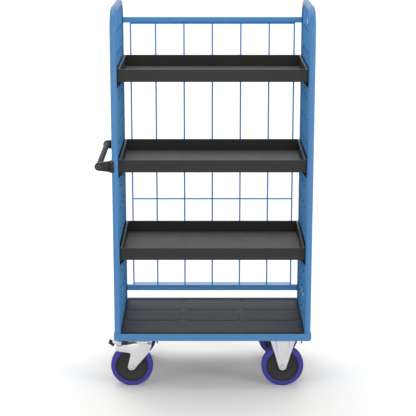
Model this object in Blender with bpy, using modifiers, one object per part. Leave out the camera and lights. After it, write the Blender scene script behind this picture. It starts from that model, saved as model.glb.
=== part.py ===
"""Shelf trolley: two bent tube end frames with perforated panels, a wire back, a moulded deck in a
steel frame, three lift-out trays on hooked brackets, a push handle, and two fixed and two braked
swivel casters.

Metres, +Z up. X runs along the deck, with the handle at -X, and the open front faces -Y. The origin
is on the floor, under the middle of the whole trolley. Lengths below are real sizes, and places in
X are taken from the middle of the deck.
"""
import math

import bmesh
import bpy
from mathutils import Matrix, Vector

# Fits
TOUCH_GAP = 0.0003
SIDE_CLEARANCE = 0.0005
OVERRUN = 0.002
MERGE_DISTANCE = 0.00001
FACING_SHARE = 0.9
ROUND_PROFILE_SHARE = 0.5
SMOOTH_ANGLE_DEGREES = 40.0
ARC_STEPS = 6
CORNER_STEPS = 2
ROUND_SIDES = 12
BOLT_SIDES = 6
STUD_SIDES = 8
TUBE_RESOLUTION = 4
WIRE_RESOLUTION = 2

# Deck frame
DECK_LENGTH = 0.925
DECK_DEPTH = 0.545
RAIL_HEIGHT = 0.035
RAIL_WIDTH = 0.030
RAIL_WALL = 0.0025
RAIL_EDGE_RADIUS = 0.012
CORNER_PLATE_THICKNESS = 0.004
CORNER_PLATE_END_MARGIN = 0.0353
CORNER_PLATE_SIDE_MARGIN = 0.0223

# Deck panel
PANEL_SIDE_GAP = 0.002
PANEL_RECESS = 0.001
PANEL_SKIN = 0.004
PANEL_BORDER = 0.018
GROOVE_WIDTH = 0.022
GROOVE_DEPTH = 0.0015
GROOVE_ROWS = 3

# End frames
TUBE_DIAMETER = 0.030
TUBE_WALL = 0.002
TUBE_INSET = 0.003
TROLLEY_HEIGHT = 1.800
BEND_RADIUS = 0.100
END_PANEL_INSET = 0.0075
END_PANEL_THICKNESS = 0.0015
HOLE_DIAMETER = 0.009
HOLE_ROWS = 14
FIRST_HOLE_RISE = 0.0514
TOP_HOLE_DROP = 0.116
HOLE_COLUMN_SPACING = 0.110
SLOT_LENGTH = 0.120
SLOT_HEIGHT = 0.030
UPPER_SLOT_RISE = 0.034
LOWER_SLOT_DROP = 0.031

# Back wall
BACK_TUBE_SIZE = 0.025
BACK_TUBE_EDGE_RADIUS = 0.003
UPPER_TUBE_DROP = 0.1075
LOWER_TUBE_RISE = 0.0604
WIRE_DIAMETER = 0.006
WIRE_BITE = 0.001
OUTER_WIRE_SPACING = 0.121
OUTER_WIRE_INSET = 0.0485
UPPER_WIRE_GAP = 0.005
LOWER_WIRE_GAP = 0.0095
MIDDLE_WIRE_RISE = 0.436

# Trays
TRAY_HEIGHT = 0.057
TRAY_BACK_GAP = 0.0015
TRAY_FLOOR_DEPTH = 0.054
TRAY_RIM_WIDTH = 0.010
TRAY_WALL = 0.0015
TRAY_CORNER_RADIUS = 0.004
TRAY_INNER_RADIUS = 0.006
LOWER_TRAY_ROW = 3
TRAY_ROW_STEP = 4
RIM_ABOVE_HOLE = 0.048

# Tray brackets
BRACKET_SHEET = 0.0025
BRACKET_LEDGE = 0.030
BRACKET_ABOVE_HOLE = 0.012
GUSSET_HEIGHT = 0.033
GUSSET_THICKNESS = 0.003
GUSSET_END_INSET = 0.001
PEG_LENGTH = 0.004

# Push handle
HANDLE_HEIGHT = 1.080
GRIP_DIAMETER = 0.028
GRIP_STANDOFF = 0.075
ARM_END_RADIUS = 0.018
ARM_ROOT_HEIGHT = 0.048
ARM_THICKNESS = 0.026
CLAMP_HEIGHT = 0.052
CLAMP_DEPTH = 0.009
CLAMP_WALL = 0.003
CLAMP_OPENING_INSET = 0.004
CLAMP_SIDES = 24

# Casters
WHEEL_DIAMETER = 0.200
WHEEL_HEADROOM = 0.045
SWIVEL_TRAIL = 0.050
WHEEL_STEPS = 30
RIM_DIAMETER = 0.153
RIM_INSET = 0.002
RIM_SECTION = 0.010
WEB_THICKNESS = 0.012
WEB_FILLET = 0.004
HUB_DIAMETER = 0.046
HUB_PROUD = 0.004
TYRE_WIDTH = 0.040
TREAD_WIDTH = 0.024
SHOULDER_DROP = 0.005
AXLE_DIAMETER = 0.012
AXLE_HEAD_DIAMETER = 0.020
AXLE_HEAD_LENGTH = 0.006
FORK_SHEET = 0.004
FIXED_FORK_WIDTH = 0.126
FIXED_FORK_END_RADIUS = 0.0175
TOP_PLATE_THICKNESS = 0.004
TOP_PLATE_END_MARGIN = 0.0175
TOP_PLATE_SIDE_MARGIN = 0.015
BOLT_SPACING_X = 0.105
BOLT_SPACING_Y = 0.080
BOLT_DIAMETER = 0.008
BOLT_HEAD_DIAMETER = 0.015
BOLT_HEAD_LENGTH = 0.005
BOLT_TO_END_RAIL = 0.0467
BOLT_TO_LONG_RAIL = 0.0047

# Swivel head
RACE_DIAMETER = 0.084
RACE_BORE = 0.030
RACE_HEIGHT = 0.012
RACE_CHAMFER = 0.003
CROWN_DIAMETER = 0.076
CROWN_HEIGHT = 0.018
CROWN_PLATE_LENGTH = 0.078
CROWN_PLATE_THICKNESS = 0.005
KINGPIN_DIAMETER = 0.016
KINGPIN_HEAD_DIAMETER = 0.026
KINGPIN_HEAD_LENGTH = 0.007

# The swivel fork's side outline, as shares of the wheel's radius, from the wheel's centre
FORK_OUTLINE_SHARES = (
    (-0.787, 0.938),
    (-0.745, 1.000),
    (-0.430, 1.035),
    (-0.400, 1.190),
    (-0.360, 1.235),
    (-0.240, 1.235),
    (-0.190, 1.190),
    (-0.150, 1.100),
    (0.118, 1.170),
    (0.957, 1.100),
    (0.834, 0.726),
    (0.200, -0.030),
    (0.130, -0.130),
    (0.033, -0.180),
    (-0.070, -0.180),
    (-0.137, -0.155),
    (-0.198, -0.033),
    (-0.052, 0.598),
    (-0.065, 0.650),
    (-0.113, 0.683),
    (-0.726, 0.787),
)

# Wheel brake
BRAKE_PIVOT_SHARES = (-0.300, 1.130)
BRAKE_PIN_DIAMETER = 0.008
BRAKE_PIN_PROUD = 0.002
BRAKE_EYE_RADIUS = 0.0085
BRAKE_SIDE_GAP = 0.0043
BRAKE_ARM_THICKNESS = 0.006
BRAKE_SHOE_SHARES = ((-0.470, 0.945), (-0.330, 1.005))
PEDAL_CENTRE_SHARES = (-0.955, 1.140)
PEDAL_SLOPE_DEGREES = -48.0
PEDAL_LENGTH = 0.0375
PEDAL_THICKNESS = 0.012
PEDAL_WIDTH = 0.056
PEDAL_EDGE_RADIUS = 0.002

# Places worked out from the sizes
TUBE_RADIUS = TUBE_DIAMETER / 2
TUBE_X = DECK_LENGTH / 2 - TUBE_INSET - TUBE_RADIUS
TUBE_Y = DECK_DEPTH / 2 - TUBE_INSET - TUBE_RADIUS
HANDLE_REACH = GRIP_STANDOFF + ARM_END_RADIUS - TUBE_INSET - TUBE_RADIUS
DECK_X = HANDLE_REACH / 2
CASTER_HEIGHT = WHEEL_DIAMETER + WHEEL_HEADROOM
FRAME_BOTTOM = CASTER_HEIGHT + TOUCH_GAP
FRAME_TOP = FRAME_BOTTOM + RAIL_HEIGHT
RAIL_INNER_X = DECK_LENGTH / 2 - RAIL_WIDTH
RAIL_INNER_Y = DECK_DEPTH / 2 - RAIL_WIDTH
CASTER_X = RAIL_INNER_X - TOUCH_GAP - BOLT_TO_END_RAIL - BOLT_SPACING_X / 2
CASTER_Y = RAIL_INNER_Y - TOUCH_GAP - BOLT_TO_LONG_RAIL - BOLT_SPACING_Y / 2
ARCH_FOOT = FRAME_TOP + TOUCH_GAP
ARCH_CENTRE_TOP = TROLLEY_HEIGHT - TUBE_RADIUS
END_PANEL_X = TUBE_X - END_PANEL_INSET
PANEL_INNER_FACE = END_PANEL_X - END_PANEL_THICKNESS / 2
HOLE_COLUMNS = (-HOLE_COLUMN_SPACING, 0.0, HOLE_COLUMN_SPACING)
FIRST_HOLE_HEIGHT = ARCH_FOOT + FIRST_HOLE_RISE
TOP_HOLE_HEIGHT = TROLLEY_HEIGHT - TOP_HOLE_DROP
HOLE_PITCH = (TOP_HOLE_HEIGHT - FIRST_HOLE_HEIGHT) / (HOLE_ROWS - 1)
UPPER_SLOT_HEIGHT = TOP_HOLE_HEIGHT + UPPER_SLOT_RISE
LOWER_SLOT_HEIGHT = FIRST_HOLE_HEIGHT + HOLE_PITCH - LOWER_SLOT_DROP
UPPER_TUBE_HEIGHT = TROLLEY_HEIGHT - UPPER_TUBE_DROP
LOWER_TUBE_HEIGHT = ARCH_FOOT + LOWER_TUBE_RISE
BACK_TUBE_HALF = BACK_TUBE_SIZE / 2
WIRE_RADIUS = WIRE_DIAMETER / 2
OUTER_WIRE_PLACE = TUBE_X - OUTER_WIRE_INSET
INNER_WIRE_SPACING = (OUTER_WIRE_PLACE - OUTER_WIRE_SPACING) / 2
UPPER_WIRE_HEIGHT = UPPER_TUBE_HEIGHT - BACK_TUBE_HALF - UPPER_WIRE_GAP - WIRE_RADIUS
LOWER_WIRE_HEIGHT = LOWER_TUBE_HEIGHT + BACK_TUBE_HALF + LOWER_WIRE_GAP + WIRE_RADIUS
MIDDLE_WIRE_HEIGHT = LOWER_WIRE_HEIGHT + MIDDLE_WIRE_RISE
TRAY_LENGTH = 2 * (TUBE_X - TUBE_RADIUS - SIDE_CLEARANCE)
TRAY_DEPTH = 2 * (TUBE_Y - WIRE_RADIUS - TRAY_BACK_GAP)
BRACKET_LENGTH = 2 * (TUBE_Y - TUBE_RADIUS - SIDE_CLEARANCE)
WHEEL_RADIUS = WHEEL_DIAMETER / 2
HUB_LENGTH = TYRE_WIDTH + 2 * HUB_PROUD
RIM_WIDTH = TYRE_WIDTH - 2 * RIM_INSET
FORK_INNER = HUB_LENGTH / 2 + TOUCH_GAP
FORK_OUTER = FORK_INNER + FORK_SHEET
BRAKE_ARM_WIDTH = 2 * (FORK_INNER - BRAKE_SIDE_GAP)
TOP_PLATE_LENGTH = BOLT_SPACING_X + 2 * TOP_PLATE_END_MARGIN
TOP_PLATE_DEPTH = BOLT_SPACING_Y + 2 * TOP_PLATE_SIDE_MARGIN
TOP_PLATE_BOTTOM = CASTER_HEIGHT - TOP_PLATE_THICKNESS
RACE_TOP = TOP_PLATE_BOTTOM - TOUCH_GAP
CROWN_TOP = RACE_TOP - RACE_HEIGHT - TOUCH_GAP
BOLT_PLACES = [(x * BOLT_SPACING_X / 2, y * BOLT_SPACING_Y / 2) for x in (-1, 1) for y in (-1, 1)]

# Ways to turn a flat outline: standing along the trolley, and standing across it
ALONG = (math.pi / 2, 0.0, 0.0)
ACROSS = (math.pi / 2, 0.0, math.pi / 2)
AXLE_WAY = (-math.pi / 2, 0.0, 0.0)


def clear_scene():
    """Remove every object."""
    for thing in list(bpy.data.objects):
        bpy.data.objects.remove(thing)


def new_collection(name):
    """Make a collection in the scene."""
    collection = bpy.data.collections.new(name)
    bpy.context.scene.collection.children.link(collection)
    return collection


def new_finish(name, colour, roughness, metallic):
    """Make a plain material."""
    finish = bpy.data.materials.new(name)
    finish.use_nodes = True
    shader = finish.node_tree.nodes["Principled BSDF"]
    shader.inputs["Base Color"].default_value = (*colour, 1.0)
    shader.inputs["Roughness"].default_value = roughness
    shader.inputs["Metallic"].default_value = metallic
    return finish


clear_scene()
trolley = new_collection("shelf_trolley")
workshop = new_collection("workshop")
BLUE_PAINT = new_finish("blue_paint", (0.080, 0.223, 0.485), 0.35, 0.0)
BLACK_PAINT = new_finish("black_paint", (0.040, 0.040, 0.041), 0.50, 0.0)
DECK_PLASTIC = new_finish("deck_plastic", (0.061, 0.065, 0.070), 0.60, 0.0)
BLACK_PLASTIC = new_finish("black_plastic", (0.035, 0.035, 0.036), 0.50, 0.0)
ZINC = new_finish("zinc_plate", (0.690, 0.700, 0.710), 0.30, 0.9)
TYRE_RUBBER = new_finish("tyre_rubber", (0.062, 0.066, 0.260), 0.55, 0.0)


def new_empty(name, parent, location):
    """Make an empty that carries pieces, at a place from its parent."""
    empty = bpy.data.objects.new(name, None)
    trolley.objects.link(empty)
    empty.parent = parent
    empty.location = location
    return empty


def new_piece(name, data, finish, parent, location=(0.0, 0.0, 0.0), rotation=(0.0, 0.0, 0.0)):
    """Make one named sub-part from a mesh or a curve, with its own material."""
    data.name = name
    piece = bpy.data.objects.new(name, data)
    trolley.objects.link(piece)
    own_finish = finish.copy()
    own_finish.name = f"{name}_finish"
    data.materials.clear()
    data.materials.append(own_finish)
    piece.parent = parent
    piece.location = location
    piece.rotation_euler = rotation
    return piece


def add_solidify(piece, thickness):
    """Give an open surface its wall, inwards."""
    wall = piece.modifiers.new("wall", "SOLIDIFY")
    wall.thickness = thickness
    wall.offset = -1.0
    wall.use_even_offset = True


def mesh_from(shape, name):
    """Turn a bmesh into a mesh and free it."""
    mesh = bpy.data.meshes.new(name)
    shape.to_mesh(mesh)
    shape.free()
    return mesh


def evaluated_mesh(data, modify=None):
    """Return data as a welded mesh of its own, with the modifiers that modify adds applied."""
    holder = bpy.data.objects.new("holder", data)
    workshop.objects.link(holder)
    if modify:
        modify(holder)
    depsgraph = bpy.context.evaluated_depsgraph_get()
    mesh = bpy.data.meshes.new_from_object(holder.evaluated_get(depsgraph))
    bpy.data.objects.remove(holder)
    shape = bmesh.new()
    shape.from_mesh(mesh)
    bmesh.ops.remove_doubles(shape, verts=shape.verts, dist=MERGE_DISTANCE)
    shape.to_mesh(mesh)
    shape.free()
    return mesh


def placed(mesh, location=(0.0, 0.0, 0.0), rotation=(0.0, 0.0, 0.0)):
    """Turn and move a mesh's points."""
    turn = Matrix.Identity(4)
    for angle, axis in zip(rotation, "XYZ"):
        turn = Matrix.Rotation(angle, 4, axis) @ turn
    mesh.transform(Matrix.Translation(location) @ turn)
    return mesh


def gathered(meshes):
    """Put meshes that don't meet into one mesh."""
    shape = bmesh.new()
    for mesh in meshes:
        shape.from_mesh(mesh)
    return mesh_from(shape, "gathered")


def combined(base, tool, operation):
    """Return base joined with, or cut by, tool."""
    cutter = bpy.data.objects.new("cutter", tool)
    workshop.objects.link(cutter)
    cutter.hide_render = True
    cutter.display_type = "WIRE"

    def add_boolean(holder):
        boolean = holder.modifiers.new("boolean", "BOOLEAN")
        boolean.operation = operation
        boolean.object = cutter

    result = evaluated_mesh(base, add_boolean)
    bpy.data.objects.remove(cutter)
    return result


def joined(base, *tools):
    """Return base united with each tool in turn."""
    for tool in tools:
        base = combined(base, tool, "UNION")
    return base


def block(size, centre=(0.0, 0.0, 0.0)):
    """Return a box mesh."""
    shape = bmesh.new()
    bmesh.ops.create_cube(shape, size=1.0, matrix=Matrix.Translation(centre) @ Matrix.Diagonal((*size, 1.0)))
    return mesh_from(shape, "block")


def rod(radius, length, sides, centre=(0.0, 0.0, 0.0), way=(0.0, 0.0, 0.0)):
    """Return a cylinder mesh, upright unless way turns it."""
    shape = bmesh.new()
    bmesh.ops.create_cone(
        shape, cap_ends=True, segments=sides, radius1=radius, radius2=radius, depth=length
    )
    return placed(mesh_from(shape, "rod"), centre, way)


def hole_radius(radius, clearance, sides):
    """Return the radius of a hole's corners that leaves the clearance at the middle of its sides."""
    return (radius + clearance) / math.cos(math.pi / sides)


def circle(radius, sides, centre=(0.0, 0.0)):
    """Return the corners of a round hole, with a flat side at the bottom."""
    corners = []
    for index in range(sides):
        angle = (index + 0.5) * 2 * math.pi / sides
        corners.append((centre[0] + radius * math.cos(angle), centre[1] + radius * math.sin(angle)))
    return corners


def arc(centre, radius, start, end, steps=ARC_STEPS):
    """Return points along an arc, both ends included, with angles in radians."""
    points = []
    for index in range(steps + 1):
        angle = start + (end - start) * index / steps
        points.append((centre[0] + radius * math.cos(angle), centre[1] + radius * math.sin(angle)))
    return points


def stadium(length, height, centre):
    """Return the outline of a slot with round ends."""
    reach = (length - height) / 2
    right = arc((centre[0] + reach, centre[1]), height / 2, -math.pi / 2, math.pi / 2, ARC_STEPS - 2)
    left = arc((centre[0] - reach, centre[1]), height / 2, math.pi / 2, 3 * math.pi / 2, ARC_STEPS - 2)
    return right + left


def rounded_rectangle(half_x, half_y, radius, steps):
    """Return the outline of a rectangle with rounded corners."""
    points = []
    for quarter, (x, y) in enumerate(((1, 1), (-1, 1), (-1, -1), (1, -1))):
        start = quarter * math.pi / 2
        centre = (x * (half_x - radius), y * (half_y - radius))
        points += arc(centre, radius, start, start + math.pi / 2, steps)
    return points


def flat_plate(name, loops, thickness):
    """Return a 2D curve of an outline and its holes, filled and extruded."""
    curve = bpy.data.curves.new(name, "CURVE")
    curve.dimensions = "2D"
    curve.fill_mode = "BOTH"
    curve.extrude = thickness / 2
    for loop in loops:
        spline = curve.splines.new("POLY")
        spline.points.add(len(loop) - 1)
        for point, place in zip(spline.points, loop):
            point.co = (*place, 0.0, 1.0)
        spline.use_cyclic_u = True
    return curve


def bent_rod(name, points, radius, resolution, capped=True):
    """Return a curve along points, with a round section."""
    curve = bpy.data.curves.new(name, "CURVE")
    curve.dimensions = "3D"
    curve.bevel_depth = radius
    curve.bevel_resolution = resolution
    curve.use_fill_caps = capped
    spline = curve.splines.new("POLY")
    spline.points.add(len(points) - 1)
    for point, place in zip(spline.points, points):
        point.co = (*place, 1.0)
    return curve


def turned(name, profile, finish, parent, steps, ring, location=(0.0, 0.0, 0.0), way=(0.0, 0.0, 0.0)):
    """Make a turned piece from radius and height pairs that run down its outer side."""
    count = len(profile)
    edges = [(index, index + 1) for index in range(count - 1)]
    if ring:
        edges.append((count - 1, 0))
    mesh = bpy.data.meshes.new(name)
    mesh.from_pydata([(radius, 0.0, height) for radius, height in profile], edges, [])
    piece = new_piece(name, mesh, finish, parent, location, way)
    screw = piece.modifiers.new("turn", "SCREW")
    screw.steps = steps
    screw.render_steps = steps
    screw.use_merge_vertices = True
    screw.merge_threshold = MERGE_DISTANCE
    return piece


def make_rail(name, size, centre, open_way, rounded, parent):
    """Make one folded channel of the deck frame, closed at both ends and open towards the deck."""
    shape = bmesh.new()
    bmesh.ops.create_cube(shape, size=1.0, matrix=Matrix.Diagonal((*size, 1.0)))
    open_way = Vector(open_way)
    if rounded:
        edge = [
            edge
            for edge in shape.edges
            if all(corner.co.z < 0 and corner.co.dot(open_way) < 0 for corner in edge.verts)
        ]
        bmesh.ops.bevel(
            shape,
            geom=edge,
            offset=RAIL_EDGE_RADIUS,
            segments=ARC_STEPS - 2,
            profile=ROUND_PROFILE_SHARE,
            affect="EDGES",
        )
    shape.normal_update()
    inner = [face for face in shape.faces if face.normal.dot(open_way) > FACING_SHARE]
    bmesh.ops.delete(shape, geom=inner, context="FACES")
    rail = new_piece(name, mesh_from(shape, name), BLUE_PAINT, parent, centre)
    add_solidify(rail, RAIL_WALL)


def make_deck_frame(root):
    """Make the four rails: the end rails run the full depth, the long rails fit between them."""
    middle = FRAME_BOTTOM + RAIL_HEIGHT / 2
    long_size = (2 * (RAIL_INNER_X - TOUCH_GAP), RAIL_WIDTH, RAIL_HEIGHT)
    end_size = (RAIL_WIDTH, DECK_DEPTH, RAIL_HEIGHT)
    rail_x = (DECK_LENGTH - RAIL_WIDTH) / 2
    rail_y = (DECK_DEPTH - RAIL_WIDTH) / 2
    make_rail("front_rail", long_size, (0.0, -rail_y, middle), (0, 1, 0), False, root)
    make_rail("rear_rail", long_size, (0.0, rail_y, middle), (0, -1, 0), False, root)
    make_rail("left_rail", end_size, (-rail_x, 0.0, middle), (1, 0, 0), True, root)
    make_rail("right_rail", end_size, (rail_x, 0.0, middle), (-1, 0, 0), True, root)


def make_corner_plate(name, side, face, root):
    """Make the drilled plate in one corner of the frame that a caster is bolted to."""
    half_x = (BOLT_TO_END_RAIL + BOLT_SPACING_X + CORNER_PLATE_END_MARGIN) / 2
    half_y = (BOLT_TO_LONG_RAIL + BOLT_SPACING_Y + CORNER_PLATE_SIDE_MARGIN) / 2
    centre_x = RAIL_INNER_X - TOUCH_GAP - half_x
    centre_y = RAIL_INNER_Y - TOUCH_GAP - half_y
    rectangle = [(-half_x, -half_y), (half_x, -half_y), (half_x, half_y), (-half_x, half_y)]
    bolt_hole = hole_radius(BOLT_DIAMETER / 2, SIDE_CLEARANCE, STUD_SIDES)
    shift = (side * (CASTER_X - centre_x), face * (CASTER_Y - centre_y))
    holes = [circle(bolt_hole, STUD_SIDES, (shift[0] + x, shift[1] + y)) for x, y in BOLT_PLACES]
    plate = flat_plate(name, [rectangle, *holes], CORNER_PLATE_THICKNESS)
    height = FRAME_BOTTOM + CORNER_PLATE_THICKNESS / 2
    new_piece(name, plate, BLUE_PAINT, root, (side * centre_x, face * centre_y, height))


def make_deck_panel(root):
    """Make the moulded deck: a hollow slab with raised pads between crossing grooves."""
    length = 2 * (RAIL_INNER_X - PANEL_SIDE_GAP)
    depth = 2 * (RAIL_INNER_Y - PANEL_SIDE_GAP)
    top = FRAME_TOP - PANEL_RECESS
    bottom = FRAME_BOTTOM + CORNER_PLATE_THICKNESS + TOUCH_GAP
    height = top - bottom
    skirt_height = height - PANEL_SKIN / 2
    skirt_length = length - 2 * PANEL_BORDER
    skirt_depth = depth - 2 * PANEL_BORDER
    skirt = block((skirt_length, skirt_depth, skirt_height), (0.0, 0.0, skirt_height / 2))
    cavity_height = height - PANEL_SKIN + OVERRUN
    cavity_size = (skirt_length - 2 * PANEL_SKIN, skirt_depth - 2 * PANEL_SKIN, cavity_height)
    cavity = block(cavity_size, (0.0, 0.0, cavity_height / 2 - OVERRUN))
    skirt = combined(skirt, cavity, "DIFFERENCE")
    slab = joined(block((length, depth, PANEL_SKIN), (0.0, 0.0, height - PANEL_SKIN / 2)), skirt)
    groove_height = height - GROOVE_DEPTH + (GROOVE_DEPTH + OVERRUN) / 2
    for index in range(1, GROOVE_ROWS):
        place = index / GROOVE_ROWS - 1 / 2
        across = (GROOVE_WIDTH, depth - 2 * PANEL_BORDER, GROOVE_DEPTH + OVERRUN)
        along = (length - 2 * PANEL_BORDER, GROOVE_WIDTH, GROOVE_DEPTH + OVERRUN)
        slab = combined(slab, block(across, (place * length, 0.0, groove_height)), "DIFFERENCE")
        slab = combined(slab, block(along, (0.0, place * depth, groove_height)), "DIFFERENCE")
    new_piece("deck_panel", slab, DECK_PLASTIC, root, (0.0, 0.0, bottom))


def make_arch(name, side, root):
    """Make one end frame: a tube bent into a tall U that stands on its end rail."""
    bend_height = ARCH_CENTRE_TOP - BEND_RADIUS
    bend_place = TUBE_Y - BEND_RADIUS
    path = [(-TUBE_Y, ARCH_FOOT)]
    path += arc((-bend_place, bend_height), BEND_RADIUS, math.pi, math.pi / 2)
    path += arc((bend_place, bend_height), BEND_RADIUS, math.pi / 2, 0.0)
    path += [(TUBE_Y, ARCH_FOOT)]
    points = [(0.0, y, z) for y, z in path]
    tube = evaluated_mesh(bent_rod(name, points, TUBE_RADIUS, TUBE_RESOLUTION, capped=False))
    arch = new_piece(name, tube, BLUE_PAINT, root, (side * TUBE_X, 0.0, 0.0))
    add_solidify(arch, TUBE_WALL)


def make_end_panel(name, side, root):
    """Make the sheet inside an end frame, with its rows of round holes and two slots."""
    face_offset = END_PANEL_INSET - END_PANEL_THICKNESS / 2
    bite = math.sqrt(TUBE_RADIUS**2 - face_offset**2) + TOUCH_GAP
    half = TUBE_Y - bite
    radius = BEND_RADIUS - bite
    top = ARCH_CENTRE_TOP - bite
    outline = [(-half, ARCH_FOOT), (half, ARCH_FOOT)]
    outline += arc((half - radius, top - radius), radius, 0.0, math.pi / 2)
    outline += arc((radius - half, top - radius), radius, math.pi / 2, math.pi)
    loops = [outline]
    loops += [stadium(SLOT_LENGTH, SLOT_HEIGHT, (0.0, z)) for z in (LOWER_SLOT_HEIGHT, UPPER_SLOT_HEIGHT)]
    for row in range(HOLE_ROWS):
        height = FIRST_HOLE_HEIGHT + row * HOLE_PITCH
        loops += [circle(HOLE_DIAMETER / 2, STUD_SIDES, (column, height)) for column in HOLE_COLUMNS]
    sheet = flat_plate(name, loops, END_PANEL_THICKNESS)
    new_piece(name, sheet, BLUE_PAINT, root, (side * END_PANEL_X, 0.0, 0.0), ACROSS)


def make_back_tube(name, height, root):
    """Make a straight square tube between the rear legs of the end frames."""
    length = 2 * (TUBE_X - TUBE_RADIUS - TOUCH_GAP)
    half = BACK_TUBE_HALF
    inner = half - TUBE_WALL
    outline = rounded_rectangle(half, half, BACK_TUBE_EDGE_RADIUS, CORNER_STEPS)
    bore = rounded_rectangle(inner, inner, BACK_TUBE_EDGE_RADIUS - TUBE_WALL, CORNER_STEPS)
    tube = flat_plate(name, [outline, bore], length)
    new_piece(name, tube, BLUE_PAINT, root, (0.0, TUBE_Y, height), ACROSS)


def make_wire(points):
    """Return one straight wire as a closed mesh."""
    return evaluated_mesh(bent_rod("wire", points, WIRE_RADIUS, WIRE_RESOLUTION))


def make_back_mesh(root):
    """Make the welded wire back: upright wires between the tubes, and cross wires behind them."""
    reach = BACK_TUBE_HALF + TOUCH_GAP
    low = LOWER_TUBE_HEIGHT + reach
    high = UPPER_TUBE_HEIGHT - reach
    places = [index * INNER_WIRE_SPACING for index in (-2, -1, 0, 1, 2)]
    places += [-OUTER_WIRE_PLACE, OUTER_WIRE_PLACE]
    cross_y = WIRE_DIAMETER - WIRE_BITE
    cross_end = OUTER_WIRE_PLACE + WIRE_RADIUS
    heights = (LOWER_WIRE_HEIGHT, MIDDLE_WIRE_HEIGHT, UPPER_WIRE_HEIGHT)
    uprights = [make_wire([(x, 0.0, low), (x, 0.0, high)]) for x in places]
    crossings = [make_wire([(-cross_end, cross_y, z), (cross_end, cross_y, z)]) for z in heights]
    net = joined(gathered(uprights), gathered(crossings))
    new_piece("back_mesh", net, BLUE_PAINT, root, (0.0, TUBE_Y, 0.0))


def tray_shell():
    """Return the tray's open sheet: skirt, rim, inner wall and floor, with its rim at zero height."""
    half_x = TRAY_LENGTH / 2
    half_y = TRAY_DEPTH / 2
    outer = rounded_rectangle(half_x, half_y, TRAY_CORNER_RADIUS, CORNER_STEPS)
    floor_x = half_x - TRAY_RIM_WIDTH
    floor_y = half_y - TRAY_RIM_WIDTH
    inner = rounded_rectangle(floor_x, floor_y, TRAY_INNER_RADIUS, CORNER_STEPS)
    levels = ((outer, -TRAY_HEIGHT), (outer, 0.0), (inner, 0.0), (inner, -TRAY_FLOOR_DEPTH))
    points = [(x, y, height) for loop, height in levels for x, y in loop]
    count = len(outer)
    faces = []
    for level in range(len(levels) - 1):
        low = level * count
        high = low + count
        for index in range(count):
            following = (index + 1) % count
            faces.append((low + index, low + following, high + following, high + index))
    faces.append(tuple(range(len(points) - count, len(points))))
    mesh = bpy.data.meshes.new("tray")
    mesh.from_pydata(points, [], faces)
    return mesh


def tray_rim_height(level):
    """Return the height of a tray's rim, which follows the row of holes that carries it."""
    return FIRST_HOLE_HEIGHT + (LOWER_TRAY_ROW + level * TRAY_ROW_STEP) * HOLE_PITCH + RIM_ABOVE_HOLE


def make_tray(name, level, root):
    """Make one lift-out tray, on an empty at the height of its rim."""
    seat = new_empty(f"{name}_seat", root, (0.0, 0.0, tray_rim_height(level)))
    tray = new_piece(name, tray_shell(), BLACK_PAINT, seat)
    add_solidify(tray, TRAY_WALL)


def bracket_mesh(side):
    """Return one tray bracket: an upright leaf, a ledge, two gussets, and pegs for the panel's holes."""
    outer = PANEL_INNER_FACE - TOUCH_GAP
    inner = outer - BRACKET_SHEET
    ledge_end = outer - BRACKET_LEDGE
    ledge_top = -TRAY_HEIGHT - TOUCH_GAP
    ledge_bottom = ledge_top - BRACKET_SHEET
    low = ledge_bottom - GUSSET_HEIGHT
    high = BRACKET_ABOVE_HOLE - RIM_ABOVE_HOLE
    section = [
        (outer, low),
        (outer, high),
        (inner, high),
        (inner, ledge_top),
        (ledge_end, ledge_top),
        (ledge_end, ledge_bottom),
        (inner, ledge_bottom),
        (inner, low),
    ]
    gusset = [
        (outer - BRACKET_SHEET / 2, ledge_top - BRACKET_SHEET / 2),
        (ledge_end + BRACKET_SHEET / 2, ledge_top - BRACKET_SHEET / 2),
        (ledge_end + BRACKET_SHEET / 2, ledge_bottom),
        (inner, low + BRACKET_SHEET / 2),
        (outer - BRACKET_SHEET / 2, low + BRACKET_SHEET / 2),
    ]
    section = [(side * x, z) for x, z in section]
    gusset = [(side * x, z) for x, z in gusset]
    base = placed(evaluated_mesh(flat_plate("section", [section], BRACKET_LENGTH)), rotation=ALONG)
    place = BRACKET_LENGTH / 2 - GUSSET_END_INSET - GUSSET_THICKNESS / 2
    gussets = []
    for y in (-place, place):
        plate = evaluated_mesh(flat_plate("gusset", [gusset], GUSSET_THICKNESS))
        gussets.append(placed(plate, (0.0, y, 0.0), ALONG))
    peg_start = outer - BRACKET_SHEET / 2
    peg_end = PANEL_INNER_FACE + END_PANEL_THICKNESS + PEG_LENGTH
    peg_middle = side * (peg_start + peg_end) / 2
    peg_radius = HOLE_DIAMETER / 2 * math.cos(math.pi / STUD_SIDES) - SIDE_CLEARANCE
    pegs = []
    for y in HOLE_COLUMNS:
        peg = rod(peg_radius, peg_end - peg_start, STUD_SIDES, (peg_middle, y, -RIM_ABOVE_HOLE), ACROSS)
        pegs.append(peg)
    return joined(base, gathered(gussets), gathered(pegs))


def make_bracket(name, level, side, root):
    """Hook one bracket into its row of holes."""
    new_piece(name, bracket_mesh(side), BLACK_PAINT, root, (0.0, 0.0, tray_rim_height(level)))


def make_clamp(name, face, root):
    """Make the saddle that grips the outer side of a handle-end tube."""
    outer = TUBE_RADIUS + CLAMP_DEPTH
    length = outer - CLAMP_OPENING_INSET
    width = 2 * (TUBE_RADIUS + CLAMP_WALL)
    body = block((length, width, CLAMP_HEIGHT), (-(outer + CLAMP_OPENING_INSET) / 2, 0.0, 0.0))
    bore_radius = hole_radius(TUBE_RADIUS, TOUCH_GAP, CLAMP_SIDES)
    body = combined(body, rod(bore_radius, CLAMP_HEIGHT + OVERRUN, CLAMP_SIDES), "DIFFERENCE")
    new_piece(name, body, BLACK_PLASTIC, root, (-TUBE_X, face * TUBE_Y, HANDLE_HEIGHT))


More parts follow.
